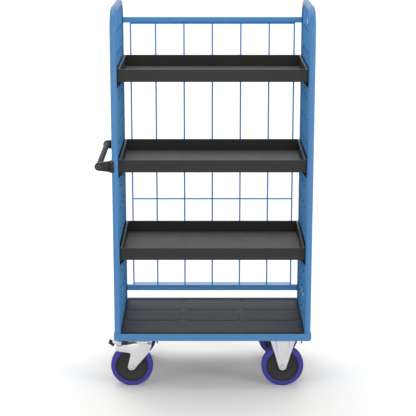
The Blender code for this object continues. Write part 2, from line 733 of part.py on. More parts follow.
def make_arm(name, face, root):
    """Make a handle arm: deep at its clamp, and round about the grip."""
    start = TUBE_RADIUS + CLAMP_DEPTH + TOUCH_GAP
    reach = GRIP_STANDOFF - start
    corner = Vector((reach, ARM_ROOT_HEIGHT / 2))
    tangent = math.atan2(corner.y, corner.x) + math.acos(ARM_END_RADIUS / corner.length)
    outline = [(-start, ARM_ROOT_HEIGHT / 2)]
    outline += arc((-GRIP_STANDOFF, 0.0), ARM_END_RADIUS, tangent, 2 * math.pi - tangent, 2 * ARC_STEPS)
    outline += [(-start, -ARM_ROOT_HEIGHT / 2)]
    arm = flat_plate(name, [outline], ARM_THICKNESS)
    new_piece(name, arm, BLACK_PLASTIC, root, (-TUBE_X, face * TUBE_Y, HANDLE_HEIGHT), ALONG)


def make_handle(root):
    """Make the push handle: a round grip between two arms, each clamped to a tube."""
    for face, word in ((-1, "front"), (1, "rear")):
        make_clamp(f"{word}_handle_clamp", face, root)
        make_arm(f"{word}_handle_arm", face, root)
    half = TUBE_Y - ARM_THICKNESS / 2 - TOUCH_GAP
    grip = bent_rod("handle_grip", [(0.0, -half, 0.0), (0.0, half, 0.0)], GRIP_DIAMETER / 2, TUBE_RESOLUTION)
    new_piece("handle_grip", grip, BLACK_PLASTIC, root, (-TUBE_X - GRIP_STANDOFF, 0.0, HANDLE_HEIGHT))


def top_plate_mesh():
    """Return a caster's top plate with its four bolts and nuts, measured from the floor."""
    plate_middle = CASTER_HEIGHT - TOP_PLATE_THICKNESS / 2
    plate = block((TOP_PLATE_LENGTH, TOP_PLATE_DEPTH, TOP_PLATE_THICKNESS), (0.0, 0.0, plate_middle))
    nut_bottom = FRAME_BOTTOM + CORNER_PLATE_THICKNESS + TOUCH_GAP
    low = TOP_PLATE_BOTTOM - BOLT_HEAD_LENGTH / 2
    high = nut_bottom + BOLT_HEAD_LENGTH / 2
    head_middle = TOP_PLATE_BOTTOM - BOLT_HEAD_LENGTH / 2 + MERGE_DISTANCE
    nut_middle = nut_bottom + BOLT_HEAD_LENGTH / 2
    shanks = []
    ends = []
    for x, y in BOLT_PLACES:
        shanks.append(rod(BOLT_DIAMETER / 2, high - low, STUD_SIDES, (x, y, (low + high) / 2)))
        for middle in (head_middle, nut_middle):
            ends.append(rod(BOLT_HEAD_DIAMETER / 2, BOLT_HEAD_LENGTH, BOLT_SIDES, (x, y, middle)))
    return joined(plate, gathered(shanks), gathered(ends))


def make_wheel(name, parent):
    """Make a wheel on its axle: rim with hub, and tyre, with a flat of the tread on the floor."""
    bore = hole_radius(AXLE_DIAMETER / 2, TOUCH_GAP, WHEEL_STEPS)
    hub = HUB_DIAMETER / 2
    half_hub = HUB_LENGTH / 2
    rim = RIM_DIAMETER / 2
    half_rim = RIM_WIDTH / 2
    rim_inner = rim - RIM_SECTION
    half_web = WEB_THICKNESS / 2
    lower = [
        (rim, -half_rim),
        (rim_inner, -half_rim),
        (rim_inner - WEB_FILLET, -half_web),
        (hub + WEB_FILLET, -half_web),
        (hub, -half_hub),
        (bore, -half_hub),
    ]
    upper = [(radius, -height) for radius, height in reversed(lower)]
    turned(f"{name}_rim", lower + upper, BLACK_PLASTIC, parent, WHEEL_STEPS, True, way=AXLE_WAY)
    tread = WHEEL_RADIUS / math.cos(math.pi / WHEEL_STEPS)
    seat = rim + TOUCH_GAP
    half_tyre = TYRE_WIDTH / 2
    section = [
        (tread, TREAD_WIDTH / 2),
        (tread, -TREAD_WIDTH / 2),
        (tread - SHOULDER_DROP, -half_tyre),
        (seat, -half_tyre),
        (seat, half_tyre),
        (tread - SHOULDER_DROP, half_tyre),
    ]
    turned(f"{name}_tyre", section, TYRE_RUBBER, parent, WHEEL_STEPS, True, way=AXLE_WAY)


def make_axle(name, parent):
    """Make the bolt that a wheel turns on, with its head and nut outside the fork."""
    half = FORK_OUTER + TOUCH_GAP
    end = half + AXLE_HEAD_LENGTH
    head = AXLE_HEAD_DIAMETER / 2
    shank = AXLE_DIAMETER / 2
    upper = [(0.0, end), (head, end), (head, half), (shank, half)]
    lower = [(radius, -height) for radius, height in reversed(upper)]
    turned(name, upper + lower, ZINC, parent, ROUND_SIDES, False, way=AXLE_WAY)


def fork_legs(outline, holes):
    """Return both legs of a fork as one mesh, from a side outline about the wheel's centre."""
    legs = []
    for side in (-1, 1):
        leg = evaluated_mesh(flat_plate("leg", [outline, *holes], FORK_SHEET))
        legs.append(placed(leg, (0.0, side * (FORK_INNER + FORK_SHEET / 2), 0.0), ALONG))
    return gathered(legs)


def axle_hole():
    """Return the corners of the hole that an axle passes through."""
    return circle(hole_radius(AXLE_DIAMETER / 2, TOUCH_GAP, ROUND_SIDES), ROUND_SIDES)


def make_fixed_caster(name, face, root):
    """Make one fixed caster: a bolted bracket with two tapered legs, and its wheel."""
    axle_place = new_empty(f"{name}_axle_place", root, (CASTER_X, face * CASTER_Y, WHEEL_RADIUS))
    root_height = TOP_PLATE_BOTTOM + TOP_PLATE_THICKNESS / 2 - WHEEL_RADIUS
    corner = Vector((FIXED_FORK_WIDTH / 2, root_height))
    tangent = math.atan2(corner.y, corner.x) - math.acos(FIXED_FORK_END_RADIUS / corner.length)
    outline = [(-corner.x, corner.y)]
    outline += arc((0.0, 0.0), FIXED_FORK_END_RADIUS, -math.pi - tangent, tangent, 2 * ARC_STEPS)
    outline += [(corner.x, corner.y)]
    legs = fork_legs(outline, [axle_hole()])
    plate = placed(top_plate_mesh(), (0.0, 0.0, -WHEEL_RADIUS))
    new_piece(f"{name}_bracket", joined(plate, legs), ZINC, axle_place)
    make_axle(f"{name}_axle", axle_place)
    make_wheel(name, axle_place)


def swivel_fork_mesh():
    """Return the swivel fork: two cranked legs under a crown, about the wheel's centre."""
    outline = [(x * WHEEL_RADIUS, z * WHEEL_RADIUS) for x, z in FORK_OUTLINE_SHARES]
    pin_hole = hole_radius(BRAKE_PIN_DIAMETER / 2, TOUCH_GAP, STUD_SIDES)
    pivot = [share * WHEEL_RADIUS for share in BRAKE_PIVOT_SHARES]
    legs = fork_legs(outline, [axle_hole(), circle(pin_hole, STUD_SIDES, pivot)])
    crown_top = CROWN_TOP - WHEEL_RADIUS
    crown_bottom = crown_top - CROWN_HEIGHT
    plate_size = (CROWN_PLATE_LENGTH, 2 * FORK_OUTER - FORK_SHEET, CROWN_PLATE_THICKNESS)
    plate = block(plate_size, (SWIVEL_TRAIL, 0.0, crown_bottom))
    crown_middle = (SWIVEL_TRAIL, 0.0, crown_top - CROWN_HEIGHT / 2)
    crown = rod(CROWN_DIAMETER / 2, CROWN_HEIGHT, 2 * ROUND_SIDES, crown_middle)
    fork = joined(legs, plate, crown)
    bore = hole_radius(KINGPIN_DIAMETER / 2, TOUCH_GAP, ROUND_SIDES)
    drill = rod(bore, 2 * CROWN_HEIGHT, ROUND_SIDES, crown_middle)
    return combined(fork, drill, "DIFFERENCE")


def make_kingpin(name, parent):
    """Make the pin that holds the fork's crown to the top plate."""
    head_top = CROWN_TOP - CROWN_HEIGHT - CROWN_PLATE_THICKNESS / 2 - TOUCH_GAP
    head_bottom = head_top - KINGPIN_HEAD_LENGTH
    head = KINGPIN_HEAD_DIAMETER / 2
    shank = KINGPIN_DIAMETER / 2
    top = CASTER_HEIGHT - TOUCH_GAP
    profile = [(0.0, top), (shank, top), (shank, head_top)]
    profile += [(head, head_top), (head, head_bottom), (0.0, head_bottom)]
    turned(name, profile, ZINC, parent, ROUND_SIDES, False)


def make_race(name, parent):
    """Make the ball race between the top plate and the crown."""
    radius = RACE_DIAMETER / 2
    bore = RACE_BORE / 2
    bottom = RACE_TOP - RACE_HEIGHT
    profile = [
        (radius - RACE_CHAMFER, RACE_TOP),
        (radius, RACE_TOP - RACE_CHAMFER),
        (radius, bottom + RACE_CHAMFER),
        (radius - RACE_CHAMFER, bottom),
        (bore, bottom),
        (bore, RACE_TOP),
    ]
    turned(name, profile, ZINC, parent, 2 * ROUND_SIDES, True)


def pedal_frame():
    """Return the pedal's centre, the way along it and the way out of its upper side."""
    centre = Vector(PEDAL_CENTRE_SHARES) * WHEEL_RADIUS
    slope = math.radians(PEDAL_SLOPE_DEGREES)
    along = Vector((math.cos(slope), math.sin(slope)))
    upward = Vector((-along.y, along.x))
    return centre, along, upward


def make_brake(name, parent):
    """Make the wheel brake: arm with its shoe, pin and pedal, about the brake's pivot."""
    pivot = Vector(BRAKE_PIVOT_SHARES) * WHEEL_RADIUS
    hinge = new_empty(f"{name}_brake_hinge", parent, (pivot.x, 0.0, pivot.y))
    centre, along, upward = pedal_frame()
    centre -= pivot
    seat = centre + upward * (PEDAL_THICKNESS / 2 + TOUCH_GAP)
    thick = BRAKE_ARM_THICKNESS
    shoe = [Vector(place) * WHEEL_RADIUS - pivot for place in BRAKE_SHOE_SHARES]
    outline = [seat + along * thick, seat - along * thick / 2]
    outline += [Vector(point) for point in arc((0.0, 0.0), BRAKE_EYE_RADIUS, math.pi / 2, -math.pi / 2)]
    outline += [shoe[1], shoe[0], shoe[0] + (seat - shoe[0]) / 3 + Vector((0.0, thick / 2))]
    pin_hole = hole_radius(BRAKE_PIN_DIAMETER / 2, TOUCH_GAP, STUD_SIDES)
    arm = flat_plate(f"{name}_brake_arm", [outline, circle(pin_hole, STUD_SIDES)], BRAKE_ARM_WIDTH)
    new_piece(f"{name}_brake_arm", arm, ZINC, hinge, rotation=ALONG)
    pin_length = 2 * (FORK_OUTER + BRAKE_PIN_PROUD)
    pin = rod(BRAKE_PIN_DIAMETER / 2, pin_length, STUD_SIDES, (0.0, 0.0, 0.0), AXLE_WAY)
    new_piece(f"{name}_brake_pin", pin, ZINC, hinge)
    pad = block((PEDAL_LENGTH, PEDAL_WIDTH, PEDAL_THICKNESS))
    turn = (0.0, -math.radians(PEDAL_SLOPE_DEGREES), 0.0)
    pedal = new_piece(f"{name}_brake_pedal", pad, BLACK_PLASTIC, hinge, (centre.x, 0.0, centre.y), turn)
    edge = pedal.modifiers.new("edge", "BEVEL")
    edge.width = PEDAL_EDGE_RADIUS
    edge.segments = 1


def make_swivel_caster(name, face, root):
    """Make one swivel caster: plate, race, kingpin, fork, wheel and brake."""
    stem = new_empty(f"{name}_stem", root, (-CASTER_X, face * CASTER_Y, 0.0))
    plate = top_plate_mesh()
    bore = hole_radius(KINGPIN_DIAMETER / 2, TOUCH_GAP, ROUND_SIDES)
    plate_middle = (0.0, 0.0, CASTER_HEIGHT - TOP_PLATE_THICKNESS / 2)
    drill = rod(bore, 2 * TOP_PLATE_THICKNESS, ROUND_SIDES, plate_middle)
    new_piece(f"{name}_plate", combined(plate, drill, "DIFFERENCE"), ZINC, stem)
    make_race(f"{name}_race", stem)
    make_kingpin(f"{name}_kingpin", stem)
    axle_place = new_empty(f"{name}_axle_place", stem, (-SWIVEL_TRAIL, 0.0, WHEEL_RADIUS))
    new_piece(f"{name}_fork", swivel_fork_mesh(), ZINC, axle_place)
    make_axle(f"{name}_axle", axle_place)
    make_wheel(name, axle_place)
    make_brake(name, axle_place)


def smooth_round_pieces():
    """Shade curved meshes smooth and keep their edges sharp."""
    for piece in trolley.objects:
        if piece.type == "MESH":
            piece.data.shade_smooth()
            piece.data.set_sharp_from_angle(angle=math.radians(SMOOTH_ANGLE_DEGREES))


def build_trolley():
    """Build the whole trolley on one empty at the middle of the deck."""
    root = new_empty("deck_middle", None, (DECK_X, 0.0, 0.0))
    make_deck_frame(root)
    make_deck_panel(root)
    for side, side_word in ((-1, "left"), (1, "right")):
        make_arch(f"{side_word}_arch", side, root)
        make_end_panel(f"{side_word}_end_panel", side, root)
        for face, face_word in ((-1, "front"), (1, "rear")):
            make_corner_plate(f"{face_word}_{side_word}_corner_plate", side, face, root)
    make_back_tube("upper_back_tube", UPPER_TUBE_HEIGHT, root)
    make_back_tube("lower_back_tube", LOWER_TUBE_HEIGHT, root)
    make_back_mesh(root)
    for level, level_word in enumerate(("lower", "middle", "upper")):
        make_tray(f"{level_word}_tray", level, root)
        for side, side_word in ((-1, "left"), (1, "right")):
            make_bracket(f"{level_word}_{side_word}_bracket", level, side, root)
    make_handle(root)
    for face, word in ((-1, "front"), (1, "rear")):
        make_fixed_caster(f"{word}_fixed", face, root)
        make_swivel_caster(f"{word}_swivel", face, root)
    smooth_round_pieces()


build_trolley()
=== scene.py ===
"""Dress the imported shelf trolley: blue tube end frames with perforated sheets, a wire back, a moulded
deck in a steel frame, three lift-out trays, a push handle, and two fixed and two braked swivel casters.

Metres, +Z up. X runs along the deck, with the handle at -X, and the open front faces -Y. Places come
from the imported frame, and the sizes of details are named here or are properties of the scene.
"""
import math

import bmesh
import bpy
import numpy as np
from bpy.props import FloatProperty, FloatVectorProperty, PointerProperty
from bpy.types import Operator, Panel, PropertyGroup
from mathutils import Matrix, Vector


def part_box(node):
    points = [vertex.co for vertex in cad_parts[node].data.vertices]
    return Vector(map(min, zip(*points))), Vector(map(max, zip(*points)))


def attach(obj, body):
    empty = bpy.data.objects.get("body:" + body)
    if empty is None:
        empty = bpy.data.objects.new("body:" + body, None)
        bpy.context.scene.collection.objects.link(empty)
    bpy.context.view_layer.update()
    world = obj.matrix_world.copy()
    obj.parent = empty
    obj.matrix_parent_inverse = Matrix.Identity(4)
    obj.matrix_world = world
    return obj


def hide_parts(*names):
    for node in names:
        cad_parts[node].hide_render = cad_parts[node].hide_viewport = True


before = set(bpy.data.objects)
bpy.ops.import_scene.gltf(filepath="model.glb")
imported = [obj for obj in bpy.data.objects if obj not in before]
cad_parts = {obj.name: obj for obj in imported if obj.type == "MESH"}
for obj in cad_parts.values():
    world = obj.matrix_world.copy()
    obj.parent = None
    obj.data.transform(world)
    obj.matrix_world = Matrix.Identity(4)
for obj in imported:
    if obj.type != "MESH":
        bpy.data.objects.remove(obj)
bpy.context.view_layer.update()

bl_info = {
    "name": "Shelf Trolley",
    "version": (1, 0, 0),
    "blender": (4, 5, 0),
    "location": "3D View > Sidebar > Trolley",
    "description": "Builds the detailed pieces, finishes and stage of a shelf trolley",
    "category": "Add Mesh",
}

# Words that name the four corners and the three trays
SIDES = ("left", "right")
FACES = ((-1, "front"), (1, "rear"))
LEVELS = ("lower", "middle", "upper")

# Ways and turns
UP = (0.0, 0.0, 1.0)
ALONG = (1.0, 0.0, 0.0)
FULL_TURN = 2 * math.pi
QUARTER_TURN = math.pi / 2

# Meshing
WELD_DISTANCE = 0.000002
SMOOTH_ANGLE_DEGREES = 35.0
TUBE_SIDES = 32
WIRE_SIDES = 12
LATHE_STEPS = 96
SMALL_STEPS = 32
CORNER_STEPS = 5
BEND_STEPS = 14


def middle(node):
    """Return the middle of a CAD node's box."""
    low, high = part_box(node)
    return (np.array(low) + np.array(high)) / 2


def extent(node):
    """Return the size of a CAD node's box."""
    low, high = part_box(node)
    return np.array(high) - np.array(low)


# Places read from the frame, and two lengths that go with them
TUBE_RADIUS = extent("left_arch")[0] / 2
TUBE_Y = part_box("left_arch")[1][1] - TUBE_RADIUS
FOOT_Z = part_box("left_arch")[0][2]
ARCH_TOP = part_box("left_arch")[1][2] - TUBE_RADIUS
RAIL_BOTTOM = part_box("front_rail")[0][2]
DECK_MIDDLE_X = middle("front_rail")[0]
BEND_RADIUS = 0.100
TOUCH_GAP = 0.0003


# Surfaces worked out with numpy

def grid_shell(points, wrap_rows=False, wrap_columns=False, caps=False):
    """Join a grid of points, row by row, with quads. Wrapped rows or columns run on into the first, and
    caps close the first and last row with one face each.
    """
    rows, columns = points.shape[:2]
    row, column = np.meshgrid(
        np.arange(rows if wrap_rows else rows - 1),
        np.arange(columns if wrap_columns else columns - 1),
        indexing="ij",
    )
    below = row * columns
    above = (row + 1) % rows * columns
    following = (column + 1) % columns
    quads = np.stack([below + column, below + following, above + following, above + column], axis=-1)
    faces = quads.reshape(-1, 4).tolist()
    if caps:
        faces.append(list(range(columns))[::-1])
        faces.append(list(range((rows - 1) * columns, rows * columns)))
    return points.reshape(-1, 3), faces


def moved(shell, offset, turn=None):
    """Turn a shell with a 3 by 3 matrix, then add an offset to every point."""
    points, faces = shell
    if turn is not None:
        points = points @ np.asarray(turn).T
    return points + np.asarray(offset), faces


def turn_about(axis, degrees):
    """Return the matrix of a turn about X, Y or Z: the other two axes mix by cosine and sine."""
    cosine = math.cos(math.radians(degrees))
    sine = math.sin(math.radians(degrees))
    matrix = np.eye(3)
    first, second = {"X": (1, 2), "Y": (2, 0), "Z": (0, 1)}[axis]
    matrix[first, first] = matrix[second, second] = cosine
    matrix[first, second] = -sine
    matrix[second, first] = sine
    return matrix


def turned(shell, axis, degrees):
    """Turn a shell through zero about X, Y or Z."""
    return moved(shell, (0.0, 0.0, 0.0), turn_about(axis, degrees))


def mirrored(shell, axis):
    """Mirror a shell through zero along one axis, and turn its faces round to match."""
    points, faces = shell
    points = points.copy()
    points[:, axis] *= -1
    return points, [face[::-1] for face in faces]


def arc_points(centre, radius, start, end, steps):
    """Return centre + radius * (cosine, sine) at evenly spaced angles from start to end."""
    angle = np.linspace(start, end, steps + 1)
    return np.stack([centre[0] + radius * np.cos(angle), centre[1] + radius * np.sin(angle)], axis=-1)


def circle(radius, sides):
    """Return radius * (cosine, sine) at evenly spaced angles, without the last point."""
    return arc_points((0.0, 0.0), radius, 0.0, FULL_TURN, sides)[:-1]


def rounded_rectangle(half_x, half_y, radius, steps=CORNER_STEPS):
    """Return a rectangle's outline, with a quarter circle of the radius in each corner."""
    corners = []
    for quarter, (x, y) in enumerate(((1, 1), (-1, 1), (-1, -1), (1, -1))):
        start = quarter * QUARTER_TURN
        centre = (x * (half_x - radius), y * (half_y - radius))
        corners.append(arc_points(centre, radius, start, start + QUARTER_TURN, steps))
    return np.concatenate(corners)


def rounded_path(corners, radii, steps=CORNER_STEPS):
    """Round the inner corners of an open path. Each arc starts radius / tangent(half the angle) before
    its corner, and its points are the two end radii mixed by sines, as on a great circle.
    """
    corners = np.asarray(corners, dtype=float)
    share = np.linspace(0.0, 1.0, steps + 1)[:, None]
    pieces = [corners[:1]]
    for index, radius in enumerate(radii, start=1):
        corner = corners[index]
        back = corners[index - 1] - corner
        ahead = corners[index + 1] - corner
        back /= np.linalg.norm(back)
        ahead /= np.linalg.norm(ahead)
        half = math.acos(np.clip(back @ ahead, -1.0, 1.0)) / 2
        if radius == 0 or QUARTER_TURN - half < math.radians(1):
            pieces.append(corner[None])
            continue
        inward = (back + ahead) / np.linalg.norm(back + ahead)
        centre = corner + inward * radius / math.sin(half)
        first = corner + back * radius / math.tan(half) - centre
        last = corner + ahead * radius / math.tan(half) - centre
        sweep = math.pi - 2 * half
        arc = np.sin((1 - share) * sweep) * first + np.sin(share * sweep) * last
        pieces.append(centre + arc / math.sin(sweep))
    pieces.append(corners[-1:])
    return np.concatenate(pieces)


def carried(path, profile, up, closed=False):
    """Carry a closed profile of (side, height) pairs along a path. A point is path + side * (up crossed
    with the path's direction) + height * up, and the side way is stretched at bends to mitre them.
    """
    path = np.asarray(path, dtype=float)
    up = np.asarray(up, dtype=float)
    if closed:
        before = path - np.roll(path, 1, axis=0)
        after = np.roll(path, -1, axis=0) - path
    else:
        steps = np.diff(path, axis=0)
        before = np.concatenate([steps[:1], steps])
        after = np.concatenate([steps, steps[-1:]])
    side = sum(np.cross(up, way / np.linalg.norm(way, axis=1, keepdims=True)) for way in (before, after))
    side *= 2 / np.sum(side * side, axis=1, keepdims=True)
    points = path[:, None] + profile[None, :, :1] * side[:, None] + profile[None, :, 1:] * up
    return grid_shell(points, wrap_rows=closed, wrap_columns=True, caps=not closed)


def tube(path, radius, up):
    """Carry a circle along a path."""
    return carried(path, circle(radius, TUBE_SIDES), up)


def lathed(profile, steps=LATHE_STEPS, ring=False):
    """Turn (radius, height) pairs, which run down the outer side, about Z: x = radius * cosine,
    y = radius * sine, z = height.
    """
    profile = np.asarray(profile, dtype=float)
    angle = (np.arange(steps) * FULL_TURN / steps)[:, None]
    points = np.stack(
        [
            profile[:, 0] * np.cos(angle),
            profile[:, 0] * np.sin(angle),
            np.broadcast_to(profile[:, 1], (steps, len(profile))),
        ],
        axis=-1,
    )
    return grid_shell(points, wrap_rows=True, wrap_columns=ring)


def prism(outline, low, high):
    """Carry a closed outline of (x, y) pairs straight up from one height to another."""
    levels = [np.column_stack([outline, np.full(len(outline), height)]) for height in (low, high)]
    return grid_shell(np.stack(levels), wrap_columns=True, caps=True)


def rounded_box(size, radius, steps=3):
    """Return a box with round edges: each point is the box's inner corner in the direction's octant plus
    radius * direction, with directions on a grid of longitude and latitude.
    """
    inner = np.asarray(size) / 2 - radius
    quarter = np.linspace(0.0, QUARTER_TURN, steps + 1)
    longitude = np.concatenate([quarter + index * QUARTER_TURN for index in range(4)])
    x_sign = np.repeat((1, -1, -1, 1), steps + 1)
    y_sign = np.repeat((1, 1, -1, -1), steps + 1)
    latitude = np.concatenate([quarter - QUARTER_TURN, quarter])[:, None]
    z_sign = np.repeat((-1, 1), steps + 1)[:, None]
    points = np.stack(
        [
            x_sign * inner[0] + radius * np.cos(latitude) * np.cos(longitude),
            y_sign * inner[1] + radius * np.cos(latitude) * np.sin(longitude),
            z_sign * inner[2] + radius * np.sin(latitude) + 0 * longitude,
        ],
        axis=-1,
    )
    return grid_shell(points, wrap_columns=True, caps=True)


def smooth_step(value, low, high):
    """Return 0 below low, 1 above high, and 3t^2 - 2t^3 in between."""
    share = np.clip((value - low) / (high - low), 0.0, 1.0)
    return share * share * (3 - 2 * share)


# Pieces

def new_piece(name, shells, finish, body, nodes=(), closed=True):
    """Weld shells into one mesh, shade it, give it its finish and ride it on its body."""
    points = []
    faces = []
    count = 0
    for shell_points, shell_faces in shells:
        points.append(shell_points)
        faces += [[index + count for index in face] for face in shell_faces]
        count += len(shell_points)
    mesh = bpy.data.meshes.new(name)
    mesh.from_pydata(np.concatenate(points).tolist(), [], faces)
    shape = bmesh.new()
    shape.from_mesh(mesh)
    bmesh.ops.remove_doubles(shape, verts=shape.verts, dist=WELD_DISTANCE)
    if closed:
        bmesh.ops.recalc_face_normals(shape, faces=shape.faces)
    shape.to_mesh(mesh)
    shape.free()
    mesh.shade_smooth()
    mesh.set_sharp_from_angle(angle=math.radians(SMOOTH_ANGLE_DEGREES))
    mesh.materials.append(finish)
    piece = bpy.data.objects.new(name, mesh)
    bpy.context.scene.collection.objects.link(piece)
    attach(piece, body)
    if nodes:
        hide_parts(*nodes)
    return piece


def add_wall(piece, thickness):
    """Give an open sheet its wall, inwards."""
    wall = piece.modifiers.new("wall", "SOLIDIFY")
    wall.thickness = thickness
    wall.offset = -1.0
    wall.use_even_offset = True


def soften_edges(piece, width, segments=2):
    """Round a piece's sharp edges."""
    edge = piece.modifiers.new("edge", "BEVEL")
    edge.width = width
    edge.segments = segments
    edge.limit_method = "ANGLE"
    edge.angle_limit = math.radians(SMOOTH_ANGLE_DEGREES)
    edge.harden_normals = True


def paint_shade_and_light(piece, shade_at):
    """Paint shade and light on a piece's points by a function of their places: from -1, painted shade as in a
    crease, to 1, a painted light band.
    """
    places = np.empty(len(piece.data.vertices) * 3)
    piece.data.vertices.foreach_get("co", places)
    marks = piece.data.attributes.new("relief", "FLOAT", "POINT")
    marks.data.foreach_set("value", shade_at(places.reshape(-1, 3)).astype(np.float32))


def paint_node(node, finish):
    """Give a CAD node that stays its finish."""
    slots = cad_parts[node].material_slots
    if not slots:
        raise ValueError(f"{node} has no material slot")
    for slot in slots:
        slot.material = finish


# Sections and outlines that several pieces share

BEAD_SIDES = 8
NUT_SIDES = 6
NUT_EDGE_STEPS = 2
SQUARE = ((1, -1), (1, 1), (-1, 1), (-1, -1))


def grown(outline, distance):
    """Move a closed outline outwards: each point goes along its two edges' mean normal, stretched so that
    both edges move by the distance.
    """
    before = outline - np.roll(outline, 1, axis=0)
    after = np.roll(outline, -1, axis=0) - outline
    normals = [np.column_stack([way[:, 1], -way[:, 0]]) for way in (before, after)]
    normals = [normal / np.linalg.norm(normal, axis=1, keepdims=True) for normal in normals]
    total = normals[0] + normals[1]
    return outline + distance * 2 * total / np.sum(total * total, axis=1, keepdims=True)


def slab(outline, low, high, edge, steps=3):
    """Carry a counter-clockwise outline from low to high, drawn in along a quarter circle at each end."""
    angle = np.linspace(0.0, QUARTER_TURN, steps + 1)
    inset = edge * (1 - np.sin(angle))
    rise = edge * (1 - np.cos(angle))
    insets = np.concatenate([inset, inset[::-1]])
    heights = np.concatenate([low + rise, high - rise[::-1]])
    loops = [
        np.column_stack([grown(outline, -move), np.full(len(outline), height)])
        for move, height in zip(insets, heights)
    ]
    return grid_shell(np.stack(loops), wrap_columns=True, caps=True)


def standing(shell):
    """Turn a shell about X, so that its second way points up and its height runs along -Y."""
    return turned(shell, "X", 90)


def nut(radius, length, edge):
    """Return a six-sided nut or bolt head that stands on zero height."""
    return slab(circle(radius, NUT_SIDES), 0.0, length, edge, NUT_EDGE_STEPS)


def weld_ring(radius, bead):
    """Return the bead of weld round the foot of a tube."""
    return lathed(circle(bead, BEAD_SIDES) + (radius, bead / 2), TUBE_SIDES, ring=True)


def mirror_profile(upper):
    """Return a lathe's profile that goes on from its upper half to the same below, mirrored."""
    return list(upper) + [(reach, -height) for reach, height in reversed(upper)]


def bell(value, centre, width):
    """Return 1 at the centre, falling to both sides as exp(-(distance / width)^2)."""
    return np.exp(-(((value - centre) / width) ** 2))


def quarter_fall(depth, radius, share=1.0):
    """Return how far a quarter circle has fallen at a depth: radius - square root(radius^2 - depth^2). A
    share just below one keeps the end of the fall from standing upright.
    """
    return radius - np.sqrt(radius**2 - depth**2 * share)


def level_reach(places, centre):
    """Return how far places lie from a centre, seen along Y."""
    return np.hypot(places[:, 0] - centre[0], places[:, 2] - centre[2])


# End frames

SLOT_HALF_LENGTH = 0.060
SLOT_HALF_HEIGHT = 0.015
SLOT_HEIGHTS = (0.405, 1.718)
HOLE_COLUMNS = (-0.110, 0.0, 0.110)
HOLE_ROWS = 14
HOLE_PITCH = 0.104
FIRST_HOLE_HEIGHT = 0.332
HOLE_HEIGHTS = np.arange(HOLE_ROWS) * HOLE_PITCH + FIRST_HOLE_HEIGHT
BRACKET_ROWS = (3, 7, 11)
HOLE_QUARTER_STEPS = 4
SHEET_EDGE = 0.2408
SHEET_TOP = 1.7713
SHEET_CORNER_STEPS = 8
SHEET_THICKNESS = 0.0015
COLLAR_NARROWING = 0.0008
COLLAR_SHARES = (0.0, 0.4, 1.0)
COLLAR_SHADE_SHARE = 0.8


def make_arches(sizes):
    """Make each end frame's tube: up one side, round two bends and down the other, with welded feet."""
    for side in SIDES:
        x = middle(f"{side}_arch")[0]
        corners = [(x, -TUBE_Y, FOOT_Z), (x, -TUBE_Y, ARCH_TOP), (x, TUBE_Y, ARCH_TOP), (x, TUBE_Y, FOOT_Z)]
        shells = [tube(rounded_path(corners, [BEND_RADIUS] * 2, BEND_STEPS), TUBE_RADIUS, ALONG)]
        for y in (-TUBE_Y, TUBE_Y):
            shells.append(moved(weld_ring(TUBE_RADIUS, sizes.weld_bead), (x, y, FOOT_Z)))
        new_piece(f"{side}_arch_tube", shells, finish("blue_paint"), "frame", [f"{side}_arch"])


def quarter_of(place, way, hole_radius):
    """Return the edge of the hole or slot at a place, within one quarter, from its upright end to its
    level end: a quarter circle, after a straight run where it is a slot.
    """
    y, z = place
    angle = np.linspace(QUARTER_TURN, 0.0, HOLE_QUARTER_STEPS + 1)
    if z in SLOT_HEIGHTS:
        run = SLOT_HALF_LENGTH - SLOT_HALF_HEIGHT
        curve = np.column_stack([run + SLOT_HALF_HEIGHT * np.cos(angle), SLOT_HALF_HEIGHT * np.sin(angle)])
        curve = np.concatenate([[(0.0, SLOT_HALF_HEIGHT)], curve])
    else:
        curve = hole_radius * np.column_stack([np.cos(angle), np.sin(angle)])
    return curve * way + (y, z)


def sheet_cells(hole_radius):
    """Return the end sheet as flat cells of a grid whose lines pass through the holes. A cell's corner at
    a hole or slot is cut away along a quarter of it. The two top corners are rounded: each arc ends on the
    line of the top holes, where the cell below goes on.
    """
    bend_y = TUBE_Y - BEND_RADIUS
    radius = SHEET_EDGE - bend_y
    bend_z = SHEET_TOP - radius
    lines_y = sorted({0.0, *(s * y for s in (-1, 1) for y in (HOLE_COLUMNS[-1], bend_y, SHEET_EDGE))})
    lines_z = sorted({FOOT_Z, *HOLE_HEIGHTS.tolist(), *SLOT_HEIGHTS, SHEET_TOP})
    open_nodes = {(y, z) for y in HOLE_COLUMNS for z in HOLE_HEIGHTS.tolist()}
    open_nodes |= {(0.0, z) for z in SLOT_HEIGHTS}
    points = []
    faces = []
    count = 0
    for y0, y1 in zip(lines_y, lines_y[1:]):
        for z0, z1 in zip(lines_z, lines_z[1:]):
            corners = (((y0, z0), (1, 1)), ((y1, z0), (-1, 1)), ((y1, z1), (-1, -1)), ((y0, z1), (1, -1)))
            outline = []
            for place, way in corners:
                outer = abs(place[0]) == SHEET_EDGE and place[1] > bend_z
                if outer and place[1] == SHEET_TOP:
                    on_right = place[0] > 0
                    start = 0.0 if on_right else QUARTER_TURN
                    centre = (math.copysign(bend_y, place[0]), bend_z)
                    arc = arc_points(centre, radius, start, start + QUARTER_TURN, SHEET_CORNER_STEPS)
                    arc[0 if on_right else -1, 1] = HOLE_HEIGHTS[-1]
                    outline.append(arc)
                elif outer:
                    continue
                elif place in open_nodes:
                    curve = quarter_of(place, way, hole_radius)
                    outline.append(curve if way[0] * way[1] > 0 else curve[::-1])
                else:
                    outline.append(np.array([place]))
            outline = np.concatenate(outline)
            faces.append(list(range(count, count + len(outline))))
            points.append(outline)
            count += len(outline)
    return np.concatenate(points), faces


